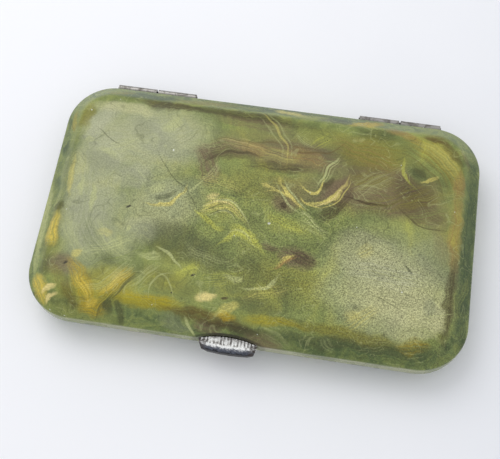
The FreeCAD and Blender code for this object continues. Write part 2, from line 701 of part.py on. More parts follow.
def make_hinge(side, name):
    """The pieces of one hinge: two leaves, the pin and two pairs of screws."""
    centre = f"{side} * Sizes.hinge_centre"
    row = f"{REAR} - Sizes.hinge_screw_inset"
    half = "Sizes.hinge_length / 2 + Sizes.pin_end"
    pieces = [make_pin(f"{name}_hinge_pin", centre, HINGE_AXIS, PARTING, "Sizes.pin_radius", half)]
    for half_name, on_lid in (("lid", True), ("base", False)):
        pieces.append(make_leaf(f"{name}_hinge_{half_name}_leaf", side, on_lid))
        screws = f"{name}_hinge_{half_name}_screws"
        pieces.append(make_screws(screws, centre, row, "Sizes.hinge_screw_pitch", on_lid))
    return pieces


def make_catch():
    """The pieces of the catch: the thumb lever, its bracket, pin and spring, the keeper and the screws."""
    row = f"{FRONT} + Sizes.catch_screw_inset"
    pivot = (f"{FRONT} + Sizes.pivot_in", f"{PARTING} - Sizes.pivot_drop")
    pieces = [make_thumb_catch(), make_bracket(), make_spring(), make_plate("keeper_plate", on_lid=True)]
    pieces.append(make_pin("catch_pin", "Sizes.catch_centre", *pivot, "Sizes.pivot_pin",
                           "Sizes.pivot_pin_half"))
    for name, on_lid in (("keeper_screws", True), ("catch_bracket_screws", False)):
        pieces.append(make_screws(name, "Sizes.catch_centre", row, "Sizes.catch_screw_pitch", on_lid))
    return pieces


def check(pieces):
    """Stop if any object of the document failed or any piece has no valid solid."""
    for item in doc.Objects:
        if {"Invalid", "Error"} & set(item.State):
            raise RuntimeError(f"{item.Label} failed: {item.State}")
    for piece in pieces:
        if piece.Shape.isNull() or not piece.Shape.isValid() or not piece.Shape.Solids:
            raise RuntimeError(f"{piece.Label} has no valid solid")


def write(pieces):
    """Write each piece's solids to its own file."""
    os.makedirs("parts", exist_ok=True)
    for piece in pieces:
        piece.Shape.exportStep(f"parts/{piece.Label}.step")
        print(f"{piece.Label}: {len(piece.Shape.Solids)} solid(s), {piece.Shape.Volume:.2f} mm3")


make_sheet()
case = [make_lid(), make_base()]
case += make_hinge(-1, "left")
case += make_hinge(1, "right")
case += make_catch()
doc.recompute()
check(case)
write(case)
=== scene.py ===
"""Looks of a hinged pocket case: two marbled moulded shells, two small hinges and a ribbed thumb catch."""

import logging
import math
from dataclasses import dataclass
from enum import Enum
from typing import ClassVar, Union

import bpy
from mathutils import Matrix, Vector

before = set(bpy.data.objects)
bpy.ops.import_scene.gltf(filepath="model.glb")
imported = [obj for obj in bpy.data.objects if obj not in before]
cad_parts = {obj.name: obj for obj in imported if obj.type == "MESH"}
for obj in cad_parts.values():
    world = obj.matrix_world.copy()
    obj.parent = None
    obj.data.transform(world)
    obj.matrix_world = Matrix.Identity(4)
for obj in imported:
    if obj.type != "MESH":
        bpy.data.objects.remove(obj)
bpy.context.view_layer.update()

Socket = bpy.types.NodeSocket
Value = Union[float, Socket]
Size = tuple[float, float, float]
Colour = tuple[float, float, float, float]

MM = 0.001
# The height at which the two shells meet, in millimetres.
PARTING = 8.5
# The half width, in millimetres, under which a smear is a drawn line.
FINE_LINE = 0.6
# The combing over which a smear is a bundle of loose hairs.
LOOSE_HAIRS = 0.65
# How far apart the hairs of a combed smear are, in millimetres.
HAIR_WIDTH = 0.55
# Where a smear ends and where it has its full strength, as squares of its half sizes.
SMEAR_END, SMEAR_HEART = 1.8, 0.1
# The levels of the comb's noise at a gap and at a hair.
GAP_LEVEL, HAIR_LEVEL = 0.4, 0.6
# The levels between which most of a noise lies.
NOISE_LOW, NOISE_HIGH = 0.3, 0.7
# The Mix node's sockets for colours. Its sockets for other kinds have the same names.
MIX_SHARE, MIX_UNDER, MIX_OVER, MIX_RESULT = 0, 6, 7, 2

log = logging.getLogger("pocket_case")


class Tint(Enum):
    """The colours of the case, as they look in even light, in sRGB steps of 255."""

    OLIVE = (127, 137, 75)
    MOSS = (146, 151, 78)
    DEEP_MOSS = (98, 108, 60)
    SEA = (100, 115, 68)
    DEEP_SEA = (58, 76, 42)
    PEAT = (72, 77, 44)
    # A pale sheen painted where the lid reflects the lamps and the rim reflects the table.
    PAINTED_SHEEN = (184, 184, 156)
    BUFF = (188, 186, 138)
    MIST = (140, 143, 112)
    UMBER = (114, 96, 72)
    BARK = (62, 48, 28)
    RUST = (94, 76, 34)
    OCHRE = (176, 150, 36)
    GOLD = (216, 190, 76)
    MUSTARD = (166, 150, 26)
    STRAW = (206, 194, 106)
    PALE_STRAW = (184, 188, 128)
    STRAW_OLIVE = (124, 119, 48)
    LIME = (178, 180, 78)
    TAN = (150, 122, 70)
    CREAM = (226, 208, 136)
    DUST = (222, 224, 210)
    PIT = (44, 40, 32)
    NICKEL = (214, 212, 206)
    TARNISH = (112, 114, 118)
    SOOT = (40, 39, 38)
    STEEL = (128, 126, 120)
    BLUED = (86, 90, 100)
    GRIME_AND_SHADE = (74, 68, 64)
    POLISH = (246, 246, 242)
    PEWTER = (150, 147, 142)
    LEAD = (110, 106, 100)
    TABLE = (244, 244, 247)
    TABLE_SHADE = (232, 233, 237)
    DAYLIGHT = (250, 252, 255)

    @property
    def linear(self) -> Colour:
        """The colour as a shader takes it.

        Returns:
            The linear red, green and blue, with full alpha.
        """
        steps = [step / 255 for step in self.value]
        red, green, blue = (s / 12.92 if s <= 0.04045 else ((s + 0.055) / 1.055) ** 2.4 for s in steps)
        return (red, green, blue, 1.0)


Stops = tuple[tuple[float, Tint], ...]


class NodeBoard:
    """A node tree, with short calls for the nodes that the finishes share."""

    def __init__(self, tree: bpy.types.NodeTree) -> None:
        """Work on a node tree."""
        self.tree = tree

    def put(self, socket: Socket, value: object) -> None:
        """Link a socket to another one, or set it to a constant.

        Args:
            socket: the input to feed.
            value: an output socket, or a number, vector or colour.
        """
        if isinstance(value, bpy.types.NodeSocket):
            self.tree.links.new(value, socket)
        else:
            socket.default_value = value

    def node(self, kind: str, inputs: dict[Union[int, str], object], **settings: object) -> bpy.types.Node:
        """Add a node.

        Args:
            kind: the node's type after "ShaderNode".
            inputs: values or sockets by input name or index.
            settings: the node's own properties.

        Returns:
            The new node.
        """
        made = self.tree.nodes.new(f"ShaderNode{kind}")
        for name, value in settings.items():
            setattr(made, name, value)
        for key, value in inputs.items():
            self.put(made.inputs[key], value)
        return made

    def math(self, operation: str, *values: Value, clamp: bool = False) -> Socket:
        """Do one sum on plain values.

        Args:
            operation: the Math node's operation.
            values: one to three numbers or sockets.
            clamp: keep the result between 0 and 1.

        Returns:
            The result's socket.
        """
        return self.node("Math", dict(enumerate(values)), operation=operation, use_clamp=clamp).outputs[0]

    def vector(self, operation: str, *values: object) -> Socket:
        """Do one sum on vectors that gives a vector."""
        return self.node("VectorMath", dict(enumerate(values)), operation=operation).outputs[0]

    def scale(self, vector: Socket, factor: float) -> Socket:
        """A vector made longer or shorter by a factor."""
        return self.node("VectorMath", {0: vector, "Scale": factor}, operation="SCALE").outputs[0]

    def length(self, vector: Socket) -> Socket:
        """How long a vector is."""
        return self.node("VectorMath", {0: vector}, operation="LENGTH").outputs["Value"]

    def dot(self, vector: Socket, along: Socket) -> Socket:
        """How far a vector goes along another one."""
        return self.node("VectorMath", {0: vector, 1: along}, operation="DOT_PRODUCT").outputs["Value"]

    def split(self, vector: Socket) -> tuple[Socket, Socket, Socket]:
        """The three parts of a vector."""
        parts = self.node("SeparateXYZ", {0: vector}).outputs
        return parts[0], parts[1], parts[2]

    def join(self, x: Value, y: Value, z: Value) -> Socket:
        """A vector made of three parts."""
        return self.node("CombineXYZ", {0: x, 1: y, 2: z}).outputs[0]

    def mapped(self, vector: Socket, turn: float, reach: Size, middle: Size = (0.0, 0.0, 0.0)) -> Socket:
        """A point measured from a middle, along turned axes.

        Args:
            vector: the point in millimetres.
            turn: how far the axes are turned about the upright, in degrees.
            reach: the unit along each turned axis, in millimetres.
            middle: where it is measured from, in millimetres.

        Returns:
            The new point's socket.
        """
        rotation = (0.0, 0.0, math.radians(turn))
        inputs = {"Vector": vector, "Location": middle, "Rotation": rotation, "Scale": reach}
        return self.node("Mapping", inputs, vector_type="TEXTURE").outputs[0]

    def noise(self, vector: Socket, size: float, detail: float = 3.0, rough: float = 0.55,
              swirl: float = 0.0) -> bpy.types.Node:
        """Add smooth noise.

        Args:
            vector: where it is read, in millimetres.
            size: how far apart its clouds are, in millimetres.
            detail: how many finer layers it has.
            rough: how strong the finer layers are.
            swirl: how far it is twisted by itself.

        Returns:
            The noise node.
        """
        inputs = {"Vector": vector, "Scale": 1 / size, "Detail": detail,
                  "Roughness": rough, "Distortion": swirl}
        return self.node("TexNoise", inputs)

    def spread(self, value: Value, low: float, high: float, start: Value = 0.0, end: Value = 1.0) -> Socket:
        """Carry one range smoothly over to another.

        Args:
            value: the value to carry over.
            low: where the first range starts.
            high: where it ends.
            start: what low becomes.
            end: what high becomes.

        Returns:
            The new value's socket.
        """
        inputs = {"Value": value, "From Min": low, "From Max": high, "To Min": start, "To Max": end}
        return self.node("MapRange", inputs, interpolation_type="SMOOTHSTEP", clamp=False).outputs["Result"]

    def blend(self, share: Value, under: object, over: object, mode: str = "MIX") -> Socket:
        """Lay one colour over another.

        Args:
            share: how much of the upper colour shows.
            under: the lower colour.
            over: the upper colour.
            mode: the Mix node's blend type.

        Returns:
            The mixed colour's socket.
        """
        made = self.node("Mix", {}, data_type="RGBA", blend_type=mode)
        for index, value in ((MIX_SHARE, share), (MIX_UNDER, under), (MIX_OVER, over)):
            self.put(made.inputs[index], value)
        return made.outputs[MIX_RESULT]

    def ramp(self, value: Socket, stops: Stops) -> Socket:
        """Colour a value by a row of tints.

        Args:
            value: the value, from 0 to 1.
            stops: places on the row and their tints.

        Returns:
            The colour's socket.
        """
        made = self.node("ValToRGB", {0: value})
        row = made.color_ramp.elements
        while len(row) < len(stops):
            row.new(0.5)
        for stop, (place, tint) in zip(row, stops):
            stop.position = place
            stop.color = tint.linear
        return made.outputs[0]

    def bump(self, height: Socket, strength: float, depth: float) -> Socket:
        """A normal raised by a height.

        Args:
            height: the height, from 0 to 1.
            strength: how much of it shows.
            depth: the full height in millimetres.

        Returns:
            The normal's socket.
        """
        inputs = {"Strength": strength, "Distance": depth * MM, "Height": height}
        return self.node("Bump", inputs).outputs[0]


class FinishBoard(NodeBoard):
    """The node tree of one new material."""

    def __init__(self, name: str) -> None:
        """Start an empty node material.

        Args:
            name: the material's name.
        """
        self.material = bpy.data.materials.new(name)
        self.material.use_nodes = True
        super().__init__(self.material.node_tree)
        self.tree.nodes.clear()

    def position(self) -> Socket:
        """The surface point in the case's own frame, in millimetres."""
        return self.scale(self.node("TexCoord", {}).outputs["Object"], 1 / MM)

    def finish(self, **sockets: object) -> bpy.types.Material:
        """End the tree in one shader.

        Args:
            sockets: the shader's inputs, with underscores for spaces.

        Returns:
            The finished material.
        """
        shader = self.node("BsdfPrincipled", {key.replace("_", " "): value for key, value in sockets.items()})
        self.node("OutputMaterial", {"Surface": shader.outputs[0]})
        return self.material


class Smear(Enum):
    """The two kinds of smear that the marbling is made of."""

    PLAIN = "plain smear"
    COMBED = "combed smear"

    def group(self) -> bpy.types.NodeTree:
        """The node group that lays such a smear over a colour, made at its first use.

        Returns:
            The group, whose place has the plan's x and y in millimetres and a 1.
        """
        known = bpy.data.node_groups.get(self.value)
        if known:
            return known
        tree = bpy.data.node_groups.new(self.value, "ShaderNodeTree")
        sockets = {"Place": "Vector", "Under": "Color", "Lengthwise": "Vector", "Crosswise": "Vector",
                   "Lift": "Float", "Strength": "Float", "Tint": "Color"}
        if self is Smear.COMBED:
            sockets.update({"Comb": "Float", "Seed": "Float", "Between": "Float"})
        for name, kind in sockets.items():
            tree.interface.new_socket(name, in_out="INPUT", socket_type=f"NodeSocket{kind}")
        tree.interface.new_socket("Colour", in_out="OUTPUT", socket_type="NodeSocketColor")
        board = NodeBoard(tree)
        given = tree.nodes.new("NodeGroupInput").outputs
        along = board.dot(given["Place"], given["Lengthwise"])
        across = board.dot(given["Place"], given["Crosswise"])
        stretch = board.math("MULTIPLY", along, along)
        across = board.math("MULTIPLY_ADD", stretch, given["Lift"], across)
        reach = board.math("MULTIPLY_ADD", across, across, stretch)
        share = board.spread(reach, SMEAR_END, SMEAR_HEART, 0.0, given["Strength"])
        if self is Smear.COMBED:
            comb = board.math("MULTIPLY_ADD", across, given["Comb"], given["Seed"])
            hairs = board.node("TexNoise", {"W": comb, "Scale": 1.0, "Detail": 2.0}, noise_dimensions="1D")
            combed = board.spread(hairs.outputs["Fac"], GAP_LEVEL, HAIR_LEVEL, given["Between"], 1.0)
            share = board.math("MULTIPLY", share, combed)
        laid = tree.nodes.new("NodeGroupOutput")
        board.put(laid.inputs["Colour"], board.blend(share, given["Under"], given["Tint"]))
        return tree


@dataclass(frozen=True)
class Stroke:
    """One figure of the marbling, a patch of painted sheen or a band of painted shade: a drawn-out smear of
    another colour.

    The place is in millimetres on the lid, seen from above, and the turn in degrees. The bow is how far its
    middle is pushed aside, and strands is how far it is combed into hairs.
    """

    name: str
    x: float
    y: float
    half_length: float
    half_width: float
    turn: float
    bow: float
    tint: Tint
    strength: float
    strands: float

    @property
    def drawn(self) -> bool:
        """Whether it is a thin line or a bundle of hairs, which keep smooth edges."""
        return self.half_width < FINE_LINE or self.strands > LOOSE_HAIRS

    def lay(self, board: NodeBoard, place: Socket, under: Socket, seed: float) -> Socket:
        """Lay the smear over a colour.

        Args:
            board: the material's nodes.
            place: the point on the plan, with a 1 after its x and y.
            under: the colour under it.
            seed: a number of its own for the strands.

        Returns:
            The colour's socket.
        """
        turn = math.radians(self.turn)
        middle = Vector((self.x, self.y))
        lengthwise = Vector((math.cos(turn), math.sin(turn))) / self.half_length
        crosswise = Vector((-math.sin(turn), math.cos(turn))) / self.half_width
        lift = self.bow / self.half_width
        inputs = {
            "Place": place, "Under": under, "Tint": self.tint.linear, "Strength": self.strength, "Lift": lift,
            "Lengthwise": (*lengthwise, -lengthwise.dot(middle)),
            "Crosswise": (*crosswise, -crosswise.dot(middle) - lift),
        }
        kind = Smear.PLAIN
        if self.strands:
            kind = Smear.COMBED
            inputs.update({"Comb": self.half_width / HAIR_WIDTH, "Seed": seed, "Between": 1 - self.strands})
        return board.node("Group", inputs, node_tree=kind.group(), label=self.name).outputs["Colour"]


# The figures of the lid, in the order in which they are laid.
LID_STROKES = (
    # Broad painted sheen (the hazes and glares, where the lid reflects the lamps) and darker clouds, which the
    # rest lies on.
    Stroke("left haze", -50.5, -1.7, 21.7, 9.1, 95, 0.0, Tint.PAINTED_SHEEN, 0.58, 0.2),
    Stroke("back left haze", -36.1, 19.5, 17.4, 10.9, 8, 0.0, Tint.PAINTED_SHEEN, 0.62, 0.15),
    Stroke("middle haze", -29.0, -2.1, 12.7, 9.7, 31, 0.0, Tint.PAINTED_SHEEN, 0.4, 0.0),
    Stroke("wide glare", 39.3, -15.8, 17.4, 16.1, -9, 0.0, Tint.PAINTED_SHEEN, 0.34, 0.0),
    Stroke("front right glare", 42.8, -18.9, 14.5, 11.9, -7, 0.0, Tint.BUFF, 0.5, 0.0),
    Stroke("right glare core", 46.3, -23.2, 11.0, 5.9, -22, 0.0, Tint.BUFF, 0.58, 0.0),
    Stroke("dark middle", -22.8, -13.0, 10.6, 5.8, -9, 0.0, Tint.PEAT, 0.68, 0.0),
    Stroke("dark front", -24.0, -24.6, 7.7, 3.0, -15, 0.0, Tint.PEAT, 0.45, 0.4),
    Stroke("green above the middle", -21.6, 4.6, 7.2, 3.0, -47, 0.0, Tint.DEEP_MOSS, 0.5, 0.3),
    Stroke("speckled dark", 26.6, -5.6, 10.3, 7.4, -29, 0.0, Tint.DEEP_MOSS, 0.15, 0.3),
    Stroke("olive middle", 0.8, 8.6, 12.2, 5.5, -7, 0.0, Tint.STRAW_OLIVE, 0.5, 0.3),
    Stroke("yellow green middle", -3.8, -5.6, 9.3, 6.0, -41, 0.0, Tint.MOSS, 0.3, 0.0),
    Stroke("front middle olive", 10.5, -20.2, 14.6, 5.4, -14, 0.0, Tint.STRAW_OLIVE, 0.35, 0.3),
    Stroke("front left haze", -37.0, -13.4, 8.7, 4.8, 30, 0.0, Tint.PAINTED_SHEEN, 0.3, 0.0),
    Stroke("front left mustard", -41.2, -29.7, 9.8, 6.0, 12, 0.0, Tint.MUSTARD, 0.45, 0.0),
    Stroke("corner taupe", -55.0, -24.3, 4.1, 3.4, 9, 0.0, Tint.UMBER, 0.5, 0.3),
    Stroke("lower middle light", 24.5, -21.1, 5.0, 4.8, -24, 0.0, Tint.PALE_STRAW, 0.3, 0.2),
    Stroke("back middle brown", 2.8, 23.9, 18.7, 3.4, 2, 0.7, Tint.UMBER, 0.4, 0.3),
    Stroke("right middle brown", 25.5, 9.0, 7.6, 4.7, -42, 0.0, Tint.UMBER, 0.5, 0.3),
    Stroke("front olive left", -20.9, -25.9, 10.6, 4.1, -11, 0.0, Tint.STRAW_OLIVE, 0.35, 0.3),
    Stroke("front corner olive", -49.7, -35.5, 8.4, 2.6, -8, 0.0, Tint.STRAW_OLIVE, 0.3, 0.2),
    Stroke("upper glare", 32.5, -7.9, 8.8, 6.2, -4, 0.0, Tint.BUFF, 0.36, 0.0),
    Stroke("dark front middle", 1.0, -22.9, 13.9, 7.4, -18, 0.0, Tint.PEAT, 0.42, 0.0),
    Stroke("dark centre", -12.1, -15.8, 5.9, 4.5, -18, 0.0, Tint.PEAT, 0.42, 0.0),
    Stroke("brown centre right", 14.1, 8.9, 12.2, 4.9, 4, 0.0, Tint.UMBER, 0.56, 0.2),
    Stroke("corner haze", -53.2, 23.7, 8.3, 3.5, 48, 0.0, Tint.PAINTED_SHEEN, 0.55, 0.0),
    Stroke("olive back right", 17.4, 27.8, 8.0, 3.1, -1, 0.0, Tint.STRAW_OLIVE, 0.5, 0.2),
    Stroke("corner brown", 50.3, 32.1, 3.4, 2.1, -6, 0.0, Tint.RUST, 0.6, 0.3),
    Stroke("haze over the left", -38.7, 6.1, 5.5, 3.7, 22, 0.0, Tint.PAINTED_SHEEN, 0.42, 0.0),
    Stroke("right haze", 53.1, -5.9, 9.7, 5.0, -64, 0.0, Tint.MIST, 0.4, 0.2),
    Stroke("brown cloud", 38.3, 14.2, 14.8, 8.5, -10, 0.0, Tint.UMBER, 0.42, 0.2),
    Stroke("shelf cloud", 12.0, 19.7, 13.9, 5.7, -3, 0.0, Tint.UMBER, 0.36, 0.2),
    Stroke("olive brown cloud", 32.9, 18.1, 7.6, 4.3, -2, 0.0, Tint.RUST, 0.4, 0.3),
    Stroke("dark above the crease", 4.4, -28.7, 5.7, 2.6, -9, 0.0, Tint.PEAT, 0.45, 0.2),
    Stroke("dark in the middle", 5.6, -12.3, 9.2, 3.7, -9, 0.0, Tint.PEAT, 0.25, 0.2),
    Stroke("taupe right", 54.2, -0.1, 7.6, 3.2, -73, 0.0, Tint.UMBER, 0.4, 0.2),
    # The shoulder all round.
    Stroke("right slope deep", 63.0, -2.8, 29.1, 2.6, -90, -0.6, Tint.DEEP_SEA, 0.88, 0.2),
    Stroke("front slope deep", 34.2, -36.6, 23.1, 2.3, 2, 0.0, Tint.DEEP_SEA, 0.62, 0.35),
    Stroke("front left slope deep", -41.6, -38.2, 10.6, 1.5, 1, 0.0, Tint.DEEP_MOSS, 0.2, 0.4),
    Stroke("back slope green", -0.7, 36.3, 24.7, 2.1, 1, 0.0, Tint.DEEP_SEA, 0.85, 0.4),
    Stroke("back left slope green", -40.4, 34.9, 10.0, 2.2, 2, 0.0, Tint.DEEP_SEA, 0.8, 0.3),
    Stroke("front left slope light", -45.7, -37.2, 12.3, 1.8, -2, -0.9, Tint.MOSS, 0.55, 0.4),
    Stroke("left slope light", -63.3, -8.8, 14.9, 1.5, -87, 0.0, Tint.MOSS, 0.55, 0.4),
    Stroke("back left corner light", -59.9, 22.5, 9.4, 2.0, -96, 1.6, Tint.MOSS, 0.5, 0.4),
    # The left half of the top.
    Stroke("buff inside the back crease", -46.4, 28.6, 10.5, 2.1, 1, 0.0, Tint.BUFF, 0.75, 0.3),
    Stroke("corner ochre", -58.0, 24.9, 4.0, 1.7, -105, 0.7, Tint.STRAW_OLIVE, 0.75, 0.0),
    Stroke("back crease shade left", -32.4, 31.7, 9.3, 1.6, -3, 0.0, Tint.BARK, 0.85, 0.3),
    Stroke("cream by the back crease", -29.9, 25.7, 4.1, 1.7, 45, 0.0, Tint.PALE_STRAW, 0.6, 0.5),
    Stroke("left crease green", -58.6, 6.1, 13.6, 1.9, -89, 0.0, Tint.DEEP_SEA, 0.45, 0.3),
    Stroke("left crease straw", -57.4, 3.3, 6.1, 0.8, -88, 0.0, Tint.STRAW, 0.6, 0.4),
    Stroke("left dark spot", -59.1, -7.0, 2.0, 1.5, -89, 0.0, Tint.PEAT, 0.85, 0.0),
    Stroke("left gold halo", -58.9, -14.8, 8.5, 2.5, -91, 0.0, Tint.STRAW_OLIVE, 0.5, 0.3),
    Stroke("left gold", -59.0, -14.5, 4.9, 1.7, -90, 0.0, Tint.GOLD, 0.78, 0.5),
    Stroke("grey zone", -50.4, 9.6, 4.9, 3.2, -23, 0.0, Tint.MIST, 0.6, 0.0),
    Stroke("grey spot", -39.1, 22.9, 3.5, 3.0, -15, 0.0, Tint.MIST, 0.55, 0.0),
    Stroke("grey blue zone", -28.8, 16.8, 5.6, 2.9, -34, 0.0, Tint.MIST, 0.3, 0.0),
    Stroke("pale streak outer", -53.8, 0.8, 3.0, 0.8, -91, 0.0, Tint.PALE_STRAW, 0.6, 0.3),
    Stroke("pale streak inner", -49.6, -2.6, 4.3, 0.9, -83, 0.0, Tint.PALE_STRAW, 0.6, 0.3),
    Stroke("pale fleck", -48.2, 12.5, 3.1, 1.2, -41, 0.0, Tint.PALE_STRAW, 0.4, 0.3),
    Stroke("spot over the tick", -31.1, 2.8, 2.3, 1.8, 25, 0.0, Tint.PALE_STRAW, 0.6, 0.3),
    Stroke("tick shade", -28.2, 1.0, 3.1, 0.9, 27, -0.7, Tint.PEAT, 0.75, 0.4),
    Stroke("tick", -27.5, 0.9, 5.6, 0.6, 35, -2.6, Tint.STRAW, 0.95, 0.3),
    Stroke("tick tail", -20.2, 5.8, 4.2, 0.4, 42, -1.0, Tint.PALE_STRAW, 0.45, 0.0),
    Stroke("pale dot", -36.4, -10.9, 0.9, 1.0, -1, 0.0, Tint.PALE_STRAW, 0.7, 0.0),
    Stroke("buff fleck", -43.3, -13.7, 2.2, 1.2, -8, 0.0, Tint.STRAW, 0.4, 0.5),
    # The back, with its brown arch and shelf, and the feathers and swirl before them.
    Stroke("back slope yellow", -22.1, 35.5, 9.6, 1.6, 3, 0.0, Tint.STRAW_OLIVE, 0.85, 0.3),
    # Painted shade along the back crease, in dark brown.
    Stroke("back crease shade middle", -8.0, 31.1, 18.3, 1.7, -2, 0.3, Tint.BARK, 0.85, 0.35),
    Stroke("brown under the crease", -4.5, 28.9, 13.2, 1.7, -2, 0.0, Tint.UMBER, 0.6, 0.5),
    Stroke("brown arch left", -18.0, 12.9, 6.5, 3.0, 110, -0.9, Tint.UMBER, 0.9, 0.5),
    Stroke("brown arch top", -11.3, 18.7, 10.2, 3.1, 8, 0.7, Tint.UMBER, 0.78, 0.45),
    Stroke("brown shelf", 8.1, 19.0, 15.9, 4.4, -1, 1.0, Tint.UMBER, 0.76, 0.5),
    Stroke("brown dark heart", -10.7, 16.3, 8.2, 1.3, 4, 1.0, Tint.BARK, 0.45, 0.5),
    Stroke("orange knot", -4.6, 20.5, 4.7, 2.0, -6, 0.0, Tint.TAN, 0.5, 0.6),
    Stroke("shelf shade", 3.5, 15.7, 9.4, 1.7, 4, 0.0, Tint.BARK, 0.7, 0.4),
    Stroke("tan shelf end", 12.1, 19.4, 6.8, 2.3, -12, 0.7, Tint.TAN, 0.55, 0.6),
    Stroke("contour back", 0.9, 22.0, 17.8, 0.3, 1, 1.0, Tint.RUST, 0.4, 0.0),
    Stroke("contour back inner", -10.0, 16.3, 9.3, 0.4, 12, 1.7, Tint.BARK, 0.55, 0.0),
    Stroke("green strand", 1.4, 25.5, 8.9, 0.4, -55, 1.9, Tint.STRAW, 0.42, 0.0),
    Stroke("wedge", 12.6, 27.4, 5.2, 2.4, -11, 0.0, Tint.MOSS, 0.5, 0.2),
    Stroke("pale comb in the arch", -15.5, 11.2, 4.6, 1.1, 61, 0.0, Tint.PALE_STRAW, 0.4, 1.0),
    Stroke("cream spot upper", -14.1, 2.9, 1.9, 1.0, 13, 0.0, Tint.CREAM, 0.6, 0.4),
    Stroke("cream spot lower", -13.7, 1.0, 2.3, 1.0, 21, 0.0, Tint.STRAW, 0.8, 0.4),
    Stroke("feather arcs", -9.7, -2.5, 6.6, 2.2, 0, 3.5, Tint.STRAW, 0.8, 1.0),
    Stroke("feather outer arc", -9.6, -2.8, 8.2, 0.4, -10, 5.4, Tint.PALE_STRAW, 0.7, 0.0),
    Stroke("feather inner arc", -9.8, -3.5, 3.9, 0.4, -1, 2.6, Tint.PALE_STRAW, 0.65, 0.0),
    Stroke("lime strand", -14.0, -4.4, 5.0, 0.7, -27, 0.0, Tint.LIME, 0.75, 0.2),
    Stroke("lime flecks", 9.5, -2.8, 5.9, 1.6, -17, 0.0, Tint.LIME, 0.7, 0.8),
    Stroke("strand left of the swirl", 9.1, 6.9, 6.0, 0.6, -47, -0.6, Tint.STRAW, 0.9, 0.0),
    Stroke("second strand", 10.7, 6.6, 6.1, 0.3, -48, -0.6, Tint.PALE_STRAW, 0.7, 0.0),
    Stroke("hook under the strand", 6.9, 4.9, 5.2, 0.5, -22, 1.9, Tint.STRAW, 0.75, 0.0),
    Stroke("strand fleck", 1.5, 8.6, 2.6, 0.6, -27, 0.0, Tint.STRAW, 0.6, 0.0),
    Stroke("white hairs", 16.0, -0.6, 4.1, 0.9, -30, 0.0, Tint.PALE_STRAW, 0.7, 1.0),
    Stroke("brown ring", 7.3, 3.3, 3.8, 2.6, -1, 0.0, Tint.UMBER, 0.65, 0.0),
    Stroke("brown dot", 7.3, 3.3, 1.0, 1.2, 9, 0.0, Tint.BARK, 0.9, 0.0),
    Stroke("swirl shade under", 22.6, 6.3, 6.9, 2.2, 46, -1.2, Tint.BARK, 0.85, 0.4),
    Stroke("swirl shade over", 21.7, 11.1, 5.6, 1.9, 44, 0.0, Tint.UMBER, 0.85, 0.2),
    Stroke("swirl dark core", 19.1, 12.4, 2.7, 1.3, 46, 0.0, Tint.BARK, 0.7, 0.2),
    Stroke("swirl inner", 14.4, 12.6, 3.7, 0.6, 29, -3.9, Tint.STRAW, 0.9, 0.0),
    Stroke("swirl comb", 18.8, 16.3, 5.2, 1.2, 64, 0.0, Tint.PALE_STRAW, 0.75, 1.0),
    Stroke("swirl arm root", 14.9, 5.4, 3.4, 0.4, -20, -1.0, Tint.STRAW, 0.7, 0.0),
    Stroke("swirl arm", 20.7, 9.9, 7.2, 0.8, 45, -1.9, Tint.STRAW, 1.0, 0.2),
    Stroke("swirl arm light", 20.8, 8.6, 5.8, 0.3, 47, -1.2, Tint.CREAM, 0.8, 0.0),
    # The back right corner and the brown field.
    Stroke("back slope ochre", 28.9, 35.1, 5.3, 1.6, 14, 0.0, Tint.OCHRE, 0.8, 0.3),
    Stroke("dark by the back crease", 32.4, 30.7, 5.5, 2.4, -2, 0.0, Tint.PEAT, 0.8, 0.3),
    Stroke("orange streak", 40.0, 31.5, 5.2, 1.7, -23, 0.7, Tint.TAN, 0.8, 0.4),
    Stroke("corner flow", 50.0, 23.3, 10.7, 3.6, -39, 3.3, Tint.OCHRE, 0.4, 0.7),
    Stroke("corner flow light", 51.1, 23.7, 8.0, 2.3, -39, 2.6, Tint.STRAW, 0.42, 0.7),
    Stroke("corner dark", 55.5, 26.9, 4.2, 1.6, -45, 1.0, Tint.RUST, 0.6, 0.3),
    Stroke("corner rust", 50.4, 30.9, 4.7, 0.9, -13, 0.3, Tint.RUST, 0.75, 0.2),
    Stroke("olive yellow field", 31.3, 24.0, 11.0, 5.4, -2, 0.0, Tint.STRAW_OLIVE, 0.95, 0.35),
    Stroke("brown field", 38.6, 11.3, 15.5, 7.8, -2, 0.7, Tint.UMBER, 0.9, 0.4),
    Stroke("brown field low", 47.7, 6.8, 8.6, 4.5, -2, 0.0, Tint.UMBER, 0.55, 0.5),
    Stroke("olive in the brown", 32.9, 15.1, 6.6, 2.3, 0, 0.0, Tint.STRAW_OLIVE, 0.4, 0.6),
    Stroke("brown core", 45.1, 12.6, 6.1, 4.9, -24, 0.0, Tint.BARK, 0.62, 0.35),
    Stroke("brown core low", 44.5, 6.0, 4.2, 2.2, -29, 0.0, Tint.BARK, 0.45, 0.4),
    Stroke("green oval", 46.2, 20.1, 4.1, 2.9, -38, 0.0, Tint.DEEP_MOSS, 0.85, 0.2),
    Stroke("oval core", 46.5, 19.9, 2.1, 1.5, -5, 0.0, Tint.PEAT, 0.75, 0.0),
    Stroke("oval ring", 43.1, 19.6, 4.7, 0.7, -72, -1.5, Tint.LIME, 0.6, 0.0),
    Stroke("oval tick", 49.2, 18.0, 2.3, 0.6, 21, -0.3, Tint.STRAW, 0.85, 0.3),
    Stroke("contour right", 33.0, 9.0, 7.7, 0.4, 2, -1.9, Tint.BARK, 0.8, 0.0),
    Stroke("contour far right", 48.1, 4.9, 8.2, 0.3, -17, -2.2, Tint.BARK, 0.5, 0.0),
    Stroke("green under the brown", 41.6, -0.5, 8.2, 3.2, -2, 0.0, Tint.MOSS, 0.3, 0.2),
    Stroke("yellow far spot", 33.0, -8.2, 2.4, 2.1, 31, 0.0, Tint.STRAW, 0.35, 0.7),
    Stroke("right crease tan", 57.7, 17.5, 4.3, 1.8, -90, 0.0, Tint.TAN, 0.7, 0.2),
